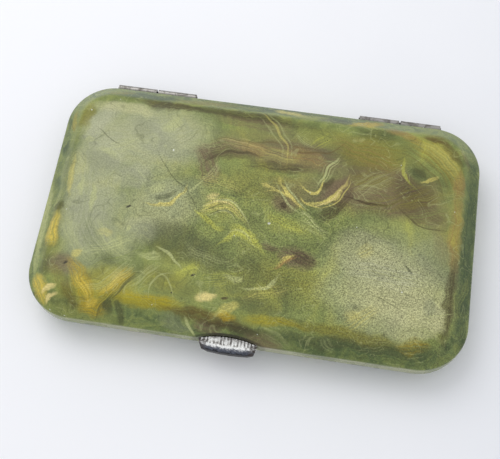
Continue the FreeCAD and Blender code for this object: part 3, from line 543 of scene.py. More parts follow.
    Stroke("right crease tan low", 58.3, 2.2, 12.4, 1.9, -90, 0.0, Tint.TAN, 0.66, 0.3),
    Stroke("right crease dark", 58.0, -18.7, 12.8, 1.6, -93, 0.0, Tint.BARK, 0.8, 0.35),
    # The front left corner and the front.
    # Painted sheen along the outermost left edge of the shoulder.
    Stroke("left edge sheen", -63.7, -11.5, 15.4, 1.4, -84, 0.0, Tint.PALE_STRAW, 0.62, 0.3),
    Stroke("left slope dark", -58.4, -25.3, 3.4, 1.8, -86, 0.0, Tint.PEAT, 0.65, 0.2),
    Stroke("front left brown", -53.7, -24.8, 4.1, 2.9, -18, 0.0, Tint.UMBER, 0.65, 0.3),
    Stroke("pale blob", -50.4, -21.0, 1.6, 1.4, -9, 0.0, Tint.STRAW, 0.75, 0.3),
    Stroke("dark front left", -50.0, -33.1, 4.5, 2.3, -82, 0.0, Tint.PEAT, 0.35, 0.4),
    Stroke("ochre band", -47.5, -29.6, 7.7, 2.5, -57, 1.1, Tint.OCHRE, 0.75, 0.6),
    Stroke("ochre band light", -46.4, -30.4, 4.7, 1.3, -55, 0.6, Tint.GOLD, 0.6, 0.9),
    Stroke("ochre foot", -42.2, -35.7, 4.7, 2.1, 0, 0.0, Tint.OCHRE, 0.75, 0.5),
    Stroke("ochre feather", -37.5, -27.9, 5.7, 3.1, 48, -0.6, Tint.OCHRE, 0.7, 0.9),
    Stroke("feather light", -37.1, -28.1, 4.5, 1.2, 46, 0.0, Tint.GOLD, 0.8, 1.0),
    Stroke("feather strand", -34.8, -30.0, 4.9, 0.5, 64, 0.0, Tint.PEAT, 0.55, 0.0),
    Stroke("feather strand low", -39.0, -34.6, 4.0, 0.5, 54, 0.0, Tint.PEAT, 0.5, 0.0),
    Stroke("corner gold", -59.3, -31.7, 4.3, 2.3, -60, 0.0, Tint.GOLD, 0.85, 0.5),
    # Painted highlights: two small pale curls on the front left corner.
    Stroke("highlight curl upper", -56.2, -31.9, 2.2, 0.7, 34, 0.3, Tint.CREAM, 0.9, 0.2),
    Stroke("highlight curl lower", -55.3, -34.2, 2.0, 0.7, 45, 0.3, Tint.CREAM, 0.85, 0.2),
    Stroke("dark patch one", -37.7, -35.3, 2.0, 1.3, -65, 0.0, Tint.PEAT, 0.85, 0.2),
    Stroke("dark patch two", -34.2, -35.6, 2.7, 1.1, -75, 0.0, Tint.PEAT, 0.85, 0.2),
    Stroke("front crease yellow", -26.7, -31.8, 9.3, 2.0, 2, 0.0, Tint.MUSTARD, 0.88, 0.3),
    Stroke("front crease brown", -9.8, -33.6, 11.9, 1.6, -3, 0.0, Tint.RUST, 0.82, 0.25),
    Stroke("left combing", -41.0, -17.3, 7.1, 1.9, 23, 0.0, Tint.PALE_STRAW, 0.55, 1.0),
    Stroke("pale wisp", -28.5, -18.4, 3.2, 1.1, 3, 0.0, Tint.PALE_STRAW, 0.65, 0.6),
    Stroke("wisp strand", -23.2, -18.2, 4.6, 0.4, -34, 0.6, Tint.PALE_STRAW, 0.65, 0.0),
    Stroke("middle combing", -29.3, -24.5, 5.1, 1.5, 50, 0.0, Tint.PALE_STRAW, 0.45, 1.0),
    Stroke("tan spot", -11.0, -28.2, 2.6, 1.4, 19, 0.0, Tint.CREAM, 0.9, 0.2),
    Stroke("yellow spot", -4.2, -30.8, 3.8, 1.8, 34, 0.0, Tint.STRAW, 0.85, 0.5),
    Stroke("yellow spot foot", -3.9, -32.8, 2.9, 1.0, 0, 0.0, Tint.OCHRE, 0.8, 0.3),
    Stroke("dark tick", -5.6, -27.6, 1.2, 0.4, 23, 0.0, Tint.BARK, 0.8, 0.0),
    Stroke("front lime", -7.2, -21.9, 6.7, 2.1, 15, 0.0, Tint.LIME, 0.4, 0.9),
    Stroke("front pale", -3.8, -21.5, 2.8, 1.0, -11, 0.0, Tint.PALE_STRAW, 0.65, 0.4),
    Stroke("front strand", 4.7, -21.7, 5.5, 0.5, 28, -2.1, Tint.PALE_STRAW, 0.75, 0.2),
    Stroke("front combing", 6.0, -24.6, 5.6, 1.8, 21, 0.0, Tint.STRAW, 0.35, 1.0),
    Stroke("brown wedge", 13.5, -13.0, 5.6, 3.1, -7, 0.0, Tint.UMBER, 0.95, 0.45),
    Stroke("wedge dark", 15.5, -12.8, 3.6, 2.0, -25, 0.0, Tint.BARK, 0.72, 0.5),
    Stroke("wedge tail", 10.5, -14.5, 3.3, 0.9, 33, 0.0, Tint.TAN, 0.95, 0.3),
    Stroke("small brown", 5.4, -10.8, 2.4, 1.2, -6, 0.0, Tint.UMBER, 0.65, 0.4),
    Stroke("front crease mustard", 9.8, -32.4, 8.6, 1.3, -1, 0.0, Tint.MUSTARD, 0.62, 0.3),
    Stroke("front crease straw olive", 30.7, -32.7, 15.9, 1.9, -3, 0.0, Tint.STRAW_OLIVE, 0.8, 0.2),
    Stroke("front slope left", -18.2, -36.4, 5.4, 2.0, -14, 0.0, Tint.MIST, 0.4, 0.3),
    Stroke("front slope shade", 1.1, -36.0, 4.1, 2.0, -2, 0.0, Tint.PEAT, 0.85, 0.2),
    Stroke("front slope umber", 7.5, -37.8, 5.0, 2.2, -8, 0.0, Tint.UMBER, 0.8, 0.3),
    Stroke("front slope threads", 10.1, -36.1, 4.9, 1.4, -22, 0.6, Tint.PALE_STRAW, 0.3, 0.9),
    Stroke("front slope brown", -8.9, -36.2, 3.9, 1.6, -9, 0.0, Tint.UMBER, 0.75, 0.4),
    Stroke("front slope line", -13.8, -36.6, 2.7, 0.4, -54, 0.0, Tint.PALE_STRAW, 0.7, 0.0),
    # The front right corner.
    Stroke("front yellow", 33.9, -27.6, 5.0, 2.6, 39, 0.0, Tint.STRAW, 0.4, 0.8),
    Stroke("front crease olive", 30.7, -35.4, 23.7, 1.4, 2, 0.0, Tint.PEAT, 0.6, 0.35),
    Stroke("front ochre spot", 48.9, -33.1, 4.0, 1.7, 1, 0.0, Tint.OCHRE, 0.55, 0.6),
    Stroke("corner buff", 54.7, -27.8, 2.5, 2.5, 44, 0.0, Tint.BUFF, 0.48, 0.0),
    Stroke("grey patch", 53.4, -22.4, 2.5, 2.4, -20, 0.0, Tint.MIST, 0.55, 0.0),
    Stroke("dark mark", 45.3, -11.3, 2.0, 0.4, -40, 0.0, Tint.PEAT, 0.75, 0.0),
    # Loose hairs, flecks and smaller figures, over the others.
    Stroke("green strand two", 2.8, 25.9, 9.0, 0.3, -55, 1.9, Tint.PALE_STRAW, 0.3, 0.0),
    Stroke("green strand three", 0.1, 24.6, 8.2, 0.3, -54, 1.6, Tint.PALE_STRAW, 0.25, 0.0),
    Stroke("wedge left feather", 10.8, 25.9, 3.9, 1.1, -40, 0.0, Tint.PALE_STRAW, 0.5, 1.0),
    Stroke("wedge right feather", 15.7, 25.9, 3.4, 1.5, 49, 0.0, Tint.LIME, 0.5, 1.0),
    Stroke("contour loop", 14.7, 24.2, 8.4, 0.3, 15, -2.4, Tint.RUST, 0.55, 0.0),
    Stroke("arch combing", -10.9, 16.3, 9.6, 2.7, 8, 2.7, Tint.BARK, 0.25, 1.0),
    Stroke("field combing", 32.9, 15.1, 7.3, 3.8, 32, 0.0, Tint.STRAW_OLIVE, 0.45, 1.0),
    Stroke("field shade", 49.2, 9.0, 6.7, 2.9, -37, 0.0, Tint.BARK, 0.35, 0.8),
    Stroke("arm second strand", 22.0, 8.8, 6.9, 0.2, 50, -1.9, Tint.STRAW, 0.6, 0.0),
    Stroke("strand left third", 8.0, 5.7, 5.9, 0.3, -48, -0.9, Tint.PALE_STRAW, 0.55, 0.0),
    Stroke("lower hairs", 16.9, -3.0, 5.4, 1.3, -16, 0.0, Tint.PALE_STRAW, 0.45, 1.0),
    Stroke("loop left", -23.9, -26.4, 4.7, 0.3, 59, 2.4, Tint.PALE_STRAW, 0.45, 0.0),
    Stroke("loop right", -22.5, -26.5, 4.6, 0.3, -49, 1.4, Tint.PALE_STRAW, 0.4, 0.0),
    Stroke("dark feather hairs", -36.2, -30.7, 8.1, 2.4, 57, 0.0, Tint.PEAT, 0.5, 1.0),
    Stroke("olive between the ochres", -50.1, -32.2, 4.5, 1.4, -62, 0.0, Tint.RUST, 0.5, 0.4),
    Stroke("left combing low", -38.8, -20.3, 7.5, 1.9, 25, 0.0, Tint.MIST, 0.4, 1.0),
    Stroke("middle swirl", -12.8, -15.1, 6.5, 1.8, -17, -1.5, Tint.PALE_STRAW, 0.3, 1.0),
    Stroke("centre hairs", -13.3, 7.8, 7.0, 2.6, -8, 0.0, Tint.STRAW, 0.35, 1.0),
    Stroke("front mid hairs", 14.1, -18.5, 9.9, 3.0, 0, -1.2, Tint.STRAW_OLIVE, 0.4, 1.0),
    Stroke("glare hairs", 40.3, -13.9, 11.2, 3.6, -2, 0.0, Tint.DUST, 0.15, 1.0),
    Stroke("glare rim", 48.5, -30.7, 7.8, 0.9, -1, 0.0, Tint.BUFF, 0.35, 0.3),
    Stroke("glare side", 55.5, -23.8, 5.9, 1.0, -91, 0.0, Tint.BUFF, 0.55, 0.3),
    Stroke("back slope straw", 4.9, 35.7, 4.8, 1.2, -4, 0.0, Tint.STRAW, 0.7, 0.5),
    Stroke("back slope green fleck", 12.2, 35.3, 4.4, 1.1, 4, 0.0, Tint.MOSS, 0.8, 0.4),
    Stroke("back slope dark fleck", 19.2, 34.8, 5.0, 1.2, 2, 0.0, Tint.PEAT, 0.8, 0.4),
    Stroke("left slope streak", -62.2, -0.4, 11.6, 1.3, -90, 0.0, Tint.DEEP_SEA, 0.25, 0.5),
    Stroke("crease brown right", -1.2, -35.1, 9.7, 1.2, -1, 0.0, Tint.BARK, 0.62, 0.3),
    Stroke("back slope light left", -48.9, 35.3, 4.2, 1.1, 1, 0.0, Tint.STRAW_OLIVE, 0.7, 0.4),
    Stroke("back slope dark left", -35.3, 35.2, 4.9, 1.1, 0, 0.0, Tint.DEEP_SEA, 0.7, 0.3),
    Stroke("back slope pale", -8.4, 35.7, 4.1, 0.9, 1, 0.0, Tint.MOSS, 0.5, 0.5),
    Stroke("left slope gold", -61.2, 23.1, 3.6, 1.0, -89, 0.0, Tint.OCHRE, 0.5, 0.5),
    Stroke("left slope dark fleck", -61.8, 13.8, 2.8, 1.3, -89, 0.0, Tint.DEEP_SEA, 0.6, 0.3),
    Stroke("right slope light", 62.6, 3.3, 4.9, 1.0, -93, 0.0, Tint.SEA, 0.4, 0.5),
    Stroke("right slope streak", 62.6, -16.1, 7.2, 0.8, -97, -0.6, Tint.MOSS, 0.4, 0.7),
    Stroke("right slope brown", 59.7, 27.0, 3.4, 1.1, -71, 0.6, Tint.RUST, 0.55, 0.5),
    Stroke("front slope pale fleck", 25.8, -36.1, 2.2, 1.0, -32, 0.0, Tint.PALE_STRAW, 0.2, 0.8),
    Stroke("ochre smear left", -53.9, -28.8, 5.1, 1.7, -56, 0.0, Tint.STRAW_OLIVE, 0.6, 0.5),
    Stroke("gold fleck foot", -42.8, -34.5, 2.1, 0.9, 33, 0.0, Tint.GOLD, 0.6, 0.6),
    Stroke("gold fleck feather", -37.9, -26.1, 2.1, 0.9, 45, 0.0, Tint.CREAM, 0.35, 0.9),
    Stroke("pale hairs front left", -39.1, -25.6, 7.2, 2.8, 40, -0.9, Tint.PALE_STRAW, 0.4, 1.0),
    Stroke("hairs on the arch", -8.1, 20.9, 6.3, 2.0, -4, 0.7, Tint.CREAM, 0.3, 1.0),
    Stroke("strands on the shelf", 4.1, 19.9, 5.9, 2.0, -5, -0.7, Tint.STRAW, 0.35, 1.0),
    Stroke("field hairs", 33.1, 13.5, 6.4, 3.1, 39, 0.9, Tint.PALE_STRAW, 0.3, 1.0),
    Stroke("corner hairs", 48.2, 20.1, 10.0, 3.5, -42, 2.6, Tint.RUST, 0.4, 1.0),
    Stroke("wedge leaf", 9.9, -13.8, 2.6, 0.6, 37, -0.3, Tint.STRAW, 0.5, 0.5),
    Stroke("glare scratches", 38.5, -12.6, 6.1, 2.1, 14, -0.9, Tint.PEAT, 0.25, 1.0),
    Stroke("glare scratches low", 43.6, -21.2, 6.3, 2.4, -5, 0.6, Tint.PEAT, 0.22, 1.0),
    Stroke("pale spot front", 31.7, -27.2, 2.5, 1.5, -12, 0.0, Tint.STRAW, 0.35, 0.4),
    Stroke("centre lime", -3.6, -6.7, 3.4, 1.5, -20, 0.0, Tint.LIME, 0.5, 0.6),
    Stroke("lime below", 6.3, -24.5, 3.5, 1.5, -28, 0.0, Tint.LIME, 0.22, 0.8),
    Stroke("haze flow dark", -45.1, -15.2, 8.9, 2.3, -50, -1.7, Tint.DEEP_MOSS, 0.4, 1.0),
    Stroke("haze flow pale", -39.8, -14.7, 8.2, 2.4, -32, -2.4, Tint.PALE_STRAW, 0.4, 1.0),
    Stroke("haze flow left", -52.1, -15.0, 7.7, 1.7, -56, -0.9, Tint.PALE_STRAW, 0.35, 1.0),
    Stroke("dark by the haze", -39.7, -22.0, 3.5, 1.8, -12, 0.0, Tint.PEAT, 0.45, 0.6),
    Stroke("wedge light", 11.6, -13.3, 2.0, 0.5, 37, 0.0, Tint.STRAW, 0.6, 0.0),
    Stroke("haze hairs back", -54.5, 16.4, 1.8, 1.0, 44, 0.7, Tint.PALE_STRAW, 0.5, 0.7),
    Stroke("haze strand", -45.5, 16.0, 6.7, 2.4, 26, -1.4, Tint.PALE_STRAW, 0.3, 1.0),
    Stroke("field strands", 40.8, 11.3, 10.7, 3.8, 30, -1.3, Tint.STRAW_OLIVE, 0.4, 1.0),
    Stroke("olive hairs", 29.7, 24.1, 10.2, 4.0, -17, 0.0, Tint.TAN, 0.35, 1.0),
    Stroke("olive over the brown", 47.6, 10.7, 8.1, 2.2, 25, 0.0, Tint.STRAW_OLIVE, 0.45, 0.9),
    Stroke("green over the brown", 48.6, 6.6, 6.8, 1.6, 25, 0.0, Tint.OLIVE, 0.4, 0.9),
    Stroke("crease shade right", 46.1, -33.9, 8.2, 1.2, -1, 0.0, Tint.DEEP_SEA, 0.5, 0.4),
    Stroke("lime arc", -3.1, -11.3, 6.0, 1.6, -5, 4.1, Tint.LIME, 0.95, 0.0),
    Stroke("lime arc light", -3.7, -9.3, 4.4, 0.5, -12, 2.5, Tint.PALE_STRAW, 0.45, 0.0),
    Stroke("feather gap outer", -10.0, -2.1, 5.1, 0.3, 0, 3.5, Tint.PEAT, 0.55, 0.0),
    Stroke("feather gap inner", -9.9, -3.0, 3.9, 0.3, 1, 2.2, Tint.PEAT, 0.55, 0.0),
    Stroke("feather strand high", -10.7, -0.2, 5.0, 0.3, -8, 2.2, Tint.CREAM, 0.6, 0.0),
    Stroke("small brown high", 6.1, -11.8, 1.4, 1.0, -25, 0.0, Tint.BARK, 0.5, 0.3),
    Stroke("pale arc low", 5.4, -22.2, 2.3, 0.4, 16, -1.5, Tint.PALE_STRAW, 0.6, 0.0),
    Stroke("dark hollow", 0.3, -16.2, 4.5, 2.1, -30, 0.0, Tint.PEAT, 0.4, 0.7),
    # Nicks, specks and long scratches.
    Stroke("nick left", -38.2, -3.5, 0.7, 0.4, 38, 0.0, Tint.PIT, 0.9, 0.0),
    Stroke("nick front left", -52.9, -24.3, 0.6, 0.6, 9, 0.0, Tint.PIT, 0.85, 0.0),
    Stroke("nick front", -15.6, -22.4, 0.6, 0.4, 37, 0.0, Tint.PIT, 0.9, 0.0),
    Stroke("white speck", -28.2, 16.8, 0.3, 0.3, 8, 0.0, Tint.DUST, 0.9, 0.0),
    Stroke("white speck middle", 4.1, -3.3, 0.4, 0.3, 9, 0.0, Tint.DUST, 0.9, 0.0),
    Stroke("scratch long", -23.0, 4.9, 15.3, 0.2, -45, -0.9, Tint.PEAT, 0.55, 0.0),
    Stroke("scratch back left", -48.8, 17.8, 5.4, 0.2, -34, 0.0, Tint.PEAT, 0.5, 0.0),
    Stroke("scratch right", 40.6, -22.4, 5.4, 0.2, -22, 0.0, Tint.PEAT, 0.5, 0.0),
    Stroke("scratch far right", 55.7, -23.4, 3.5, 0.2, 21, 0.0, Tint.PALE_STRAW, 0.5, 0.0),
)

# Painted shade in the arched gap over the catch, in the same place on both shells.
CATCH_GAP_SHADE = Stroke("painted shade over the catch", -2.6, -38.65, 9.8, 0.45, 0, 1.3, Tint.PIT, 0.9, 0.0)


class Turn(Enum):
    """How the figures lie on a shell, as a factor of x and y."""

    AS_DRAWN = 1.0
    HALF_ROUND = -1.0


@dataclass(frozen=True)
class Wisp:
    """One kind of hair-fine contour line, with its hills in millimetres and the lines that go up each."""

    hills: float
    lines: float
    share: float
    tint: Tint


@dataclass(frozen=True)
class Scratch:
    """One direction of fine scratches, with the noise level that they start at."""

    turn: float
    level: float


@dataclass(frozen=True)
class MarbledPlastic:
    """Moulded thermoset in marbled greens: clouds, combed figures, painted sheen and shade, and fine scratches.

    Sizes and heights are in millimetres. The shoulder and the rim are given by the distance from the parting.
    """

    GREENS: ClassVar[Stops] = (
        (0.32, Tint.DEEP_MOSS), (0.47, Tint.OLIVE), (0.6, Tint.MOSS), (0.74, Tint.LIME),
    )
    SEAS: ClassVar[Stops] = (
        (0.3, Tint.DEEP_SEA), (0.46, Tint.SEA), (0.58, Tint.OLIVE), (0.66, Tint.SEA), (0.76, Tint.STRAW_OLIVE),
    )
    WISPS: ClassVar[tuple[Wisp, ...]] = (
        Wisp(7.0, 26.0, 0.26, Tint.PALE_STRAW),
        Wisp(9.0, 32.0, 0.3, Tint.PEAT),
    )
    SCRATCHES: ClassVar[tuple[Scratch, ...]] = (Scratch(38.0, 0.7), Scratch(-47.0, 0.71), Scratch(6.0, 0.72))

    name: str
    seed: float
    strokes: tuple[Stroke, ...]
    turn: Turn = Turn.AS_DRAWN
    cloud_size: float = 13.0
    mottle_size: float = 5.5
    sea_share: float = 0.85
    flow_size: float = 8.0
    flow_reach: float = 0.9
    torn_size: float = 2.2
    torn_reach: float = 0.5
    shoulder_low: float = 5.6
    shoulder_high: float = 8.3
    rim_low: float = 1.4
    rim_high: float = 2.6
    rim_least: float = 0.25
    rim_most: float = 0.7
    rub_and_sheen_size: float = 14.0
    scratch_reach: Size = (14.0, 0.22, 1.0)
    scratch_share: float = 0.35
    crazed_middle: Size = (16.0, -11.0, 17.0)
    crazed_reach: Size = (46.0, 17.0, 60.0)
    crazed_turn: float = -17.0
    grain_size: float = 0.45
    grain_dark: float = -0.38
    grain_light: float = 0.34
    grain_least: float = 0.45
    grain_gain: float = 0.75
    speckle_size: float = 0.34
    speckle_least: float = 0.1
    speckle_most: float = 0.6
    speck_size: float = 1.0
    dust_share: float = 0.7
    pit_share: float = 0.8
    flat_roughness: float = 0.44
    shoulder_roughness: float = 0.26
    roughness_swing: float = 0.08
    ripple_size: float = 0.7
    ripple_strength: float = 0.12
    ripple_depth: float = 0.05
    refraction: float = 1.32

    def pushed(self, board: NodeBoard, place: Socket, size: float, reach: float, detail: float) -> Socket:
        """A point pushed about by noise, so that no figure has a clean edge.

        Args:
            board: the material's nodes.
            place: the point in millimetres.
            size: how far apart the pushes change, in millimetres.
            reach: about how far they go, in millimetres.
            detail: how ragged they are.

        Returns:
            The pushed point's socket.
        """
        push = board.noise(place, size, detail=detail).outputs["Color"]
        centred = board.vector("SUBTRACT", push, (0.5, 0.5, 0.5))
        return board.vector("ADD", place, board.scale(centred, 4 * reach))

    def plan(self, board: NodeBoard, place: Socket) -> Socket:
        """The point on the plan that the figures are laid by, turned as they lie on this shell.

        Args:
            board: the material's nodes.
            place: the pushed point in millimetres.

        Returns:
            The socket of its x and y, with a 1 after them.
        """
        across, along, _ = board.split(place)
        x, y = (board.math("MULTIPLY", part, self.turn.value) for part in (across, along))
        return board.join(x, y, 1.0)

    def ground(self, board: NodeBoard, place: Socket, slope: Socket) -> Socket:
        """The clouded green under the figures, darker and bluer on the shoulder.

        Args:
            board: the material's nodes.
            place: the pushed point in millimetres.
            slope: how far down the shoulder it is.

        Returns:
            The colour's socket.
        """
        seeded = board.vector("ADD", place, (self.seed, self.seed, 0.0))
        clouds = board.noise(seeded, self.cloud_size, detail=5.0, rough=0.62, swirl=0.8).outputs["Fac"]
        green = board.ramp(clouds, self.GREENS)
        mottles = board.noise(seeded, self.mottle_size, detail=5.0, rough=0.6, swirl=1.2).outputs["Fac"]
        sea = board.ramp(mottles, self.SEAS)
        return board.blend(board.math("MULTIPLY", slope, self.sea_share), green, sea)

    def wisps(self, board: NodeBoard, place: Socket, colour: Socket) -> Socket:
        """Hair-fine contour lines, pale and dark, that show in patches.

        Args:
            board: the material's nodes.
            place: the pushed point in millimetres.
            colour: the colour under them.

        Returns:
            The colour's socket.
        """
        for wisp in self.WISPS:
            hills = board.noise(place, wisp.hills, detail=0.5, swirl=0.8)
            climb = board.math("MULTIPLY", hills.outputs["Fac"], wisp.lines)
            wave = board.math("ABSOLUTE", board.math("SINE", climb))
            patch = board.node("SeparateColor", {0: hills.outputs["Color"]}).outputs[2]
            patch = board.spread(patch, 0.5, 0.6, 0.0, wisp.share)
            shown = board.math("MULTIPLY", board.spread(wave, 0.4, 0.06), patch)
            colour = board.blend(shown, colour, wisp.tint.linear)
        return colour

    def scratched(self, board: NodeBoard, place: Socket) -> Socket:
        """Where fine scratches run, in three crossing directions.

        Args:
            board: the material's nodes.
            place: the point in millimetres.

        Returns:
            The socket of their share, from 0 to 1.
        """
        total: Value = 0.0
        for scratch in self.SCRATCHES:
            lines = board.mapped(place, scratch.turn, self.scratch_reach)
            marks = board.noise(lines, 1.0, detail=1.0).outputs["Fac"]
            shown = board.spread(marks, scratch.level, scratch.level + 0.06)
            total = board.math("ADD", total, shown, clamp=True)
        return total

    def crazed(self, board: NodeBoard, place: Socket) -> Socket:
        """How far the surface is crazed: most along a band from the middle to the front right corner.

        Args:
            board: the material's nodes.
            place: the point in millimetres.

        Returns:
            The socket of its share, from 0 to 1.
        """
        band = board.mapped(place, self.crazed_turn, self.crazed_reach, self.crazed_middle)
        return board.spread(board.length(band), 1.7, 0.6)

    def rim_reflection(self, board: NodeBoard, away: Socket, rub_and_sheen: Socket, colour: Socket) -> Socket:
        """A pale painted reflection of the table along the rim at the parting, in patches.

        Args:
            board: the material's nodes.
            away: how far the point is from the parting, in millimetres.
            rub_and_sheen: the noise of the patches.
            colour: the colour under it.

        Returns:
            The colour's socket.
        """
        rim = board.spread(away, self.rim_high, self.rim_low)
        patches = board.spread(rub_and_sheen, 0.38, 0.6, self.rim_least, self.rim_most)
        return board.blend(board.math("MULTIPLY", rim, patches), colour, Tint.PAINTED_SHEEN.linear)

    def shaded_gap(self, board: NodeBoard, place: Socket, colour: Socket) -> Socket:
        """Painted shade in the gap over the catch."""
        level = board.vector("MULTIPLY_ADD", place, (1.0, 1.0, 0.0), (0.0, 0.0, 1.0))
        return CATCH_GAP_SHADE.lay(board, level, colour, 0.0)

    def worn(self, board: NodeBoard, place: Socket, colour: Socket, marks: Socket) -> Socket:
        """Grain, scratches, pale dust and dark pits over the marbling.

        Args:
            board: the material's nodes.
            place: the point in millimetres.
            colour: the marbling.
            marks: where the scratches run.

        Returns:
            The colour's socket.
        """
        crazed = self.crazed(board, place)
        grain = board.noise(place, self.grain_size, detail=3.0, rough=0.7).outputs["Fac"]
        contrast = board.math("MULTIPLY_ADD", crazed, self.grain_gain, self.grain_least)
        grain = board.spread(grain, NOISE_LOW, NOISE_HIGH, self.grain_dark, self.grain_light)
        shade = board.math("MULTIPLY_ADD", grain, contrast, 1.0)
        colour = board.blend(1.0, colour, board.join(shade, shade, shade), "MULTIPLY")
        colour = board.blend(board.math("MULTIPLY", marks, self.scratch_share), colour, Tint.PALE_STRAW.linear)
        dots = board.noise(place, self.speckle_size, detail=1.0).outputs["Fac"]
        dots = board.spread(dots, 0.46, 0.32)
        thick = board.spread(crazed, 0.0, 1.0, self.speckle_least, self.speckle_most)
        colour = board.blend(board.math("MULTIPLY", dots, thick), colour, Tint.BARK.linear)
        specks = board.noise(place, self.speck_size, detail=0.0).outputs["Fac"]
        colour = board.blend(board.spread(specks, 0.88, 0.92, 0.0, self.dust_share), colour, Tint.DUST.linear)
        return board.blend(board.spread(specks, 0.12, 0.09, 0.0, self.pit_share), colour, Tint.PIT.linear)

    def material(self) -> bpy.types.Material:
        """Build the finish.

        Returns:
            The finished material.
        """
        board = FinishBoard(self.name)
        place = board.position()
        flow = self.pushed(board, place, self.flow_size, self.flow_reach, 1.0)
        torn = self.pushed(board, flow, self.torn_size, self.torn_reach, 3.0)
        away = board.math("ABSOLUTE", board.math("SUBTRACT", board.split(place)[2], PARTING))
        slope = board.spread(away, self.shoulder_high, self.shoulder_low)
        colour = self.ground(board, torn, slope)
        ragged, smooth = self.plan(board, torn), self.plan(board, flow)
        for index, stroke in enumerate(self.strokes):
            colour = stroke.lay(board, smooth if stroke.drawn else ragged, colour, self.seed + index)
        colour = self.wisps(board, flow, colour)
        rub_and_sheen = board.noise(place, self.rub_and_sheen_size, detail=4.0).outputs["Fac"]
        # Painted reflection of the table along the rim, in patches of the noise that also varies the roughness.
        colour = self.rim_reflection(board, away, rub_and_sheen, colour)
        # Painted shade in the gap over the catch.
        colour = self.shaded_gap(board, place, colour)
        marks = self.scratched(board, place)
        colour = self.worn(board, place, colour, marks)
        smoothest = self.flat_roughness - self.roughness_swing
        roughest = self.flat_roughness + self.roughness_swing
        flat = board.spread(rub_and_sheen, NOISE_LOW, NOISE_HIGH, smoothest, roughest)
        rough = board.math("MULTIPLY_ADD", slope, self.shoulder_roughness - self.flat_roughness, flat)
        ripple = board.noise(place, self.ripple_size, detail=3.0).outputs["Fac"]
        height = board.math("SUBTRACT", ripple, marks)
        normal = board.bump(height, self.ripple_strength, self.ripple_depth)
        return board.finish(Base_Color=colour, Roughness=rough, IOR=self.refraction, Normal=normal)


@dataclass(frozen=True)
class AgedNickel:
    """Nickel plate on steel, dulled, with tarnish in clouds and fine pits. Sizes are in millimetres."""

    name: str
    bright: Tint
    dull: Tint
    dullness: float
    roughness: float
    cloud_size: float = 2.2
    tarnish_start: float = 0.62
    tarnish_end: float = 0.78
    tarnish_gain: float = 0.3
    smoother: float = 0.08
    rougher: float = 0.12
    pit_size: float = 0.35
    pit_share: float = 0.6
    pit_strength: float = 0.25
    pit_depth: float = 0.04

    def material(self) -> bpy.types.Material:
        """Build the finish.

        Returns:
            The finished material.
        """
        board = FinishBoard(self.name)
        place = board.position()
        clouds = board.noise(place, self.cloud_size, detail=5.0, rough=0.65, swirl=0.6).outputs["Fac"]
        gain = self.tarnish_gain * self.dullness
        share = board.spread(clouds, self.tarnish_start - gain, self.tarnish_end - gain)
        colour = board.blend(share, self.bright.linear, self.dull.linear)
        pits = board.noise(place, self.pit_size, detail=3.0, rough=0.6).outputs["Fac"]
        colour = board.blend(board.spread(pits, 0.36, 0.26, 0.0, self.pit_share), colour, Tint.SOOT.linear)
        smoothest, roughest = self.roughness - self.smoother, self.roughness + self.rougher
        rough = board.spread(clouds, NOISE_LOW, NOISE_HIGH, smoothest, roughest)
        normal = board.bump(pits, self.pit_strength, self.pit_depth)
        return board.finish(Base_Color=colour, Metallic=1.0, Roughness=rough, Normal=normal)


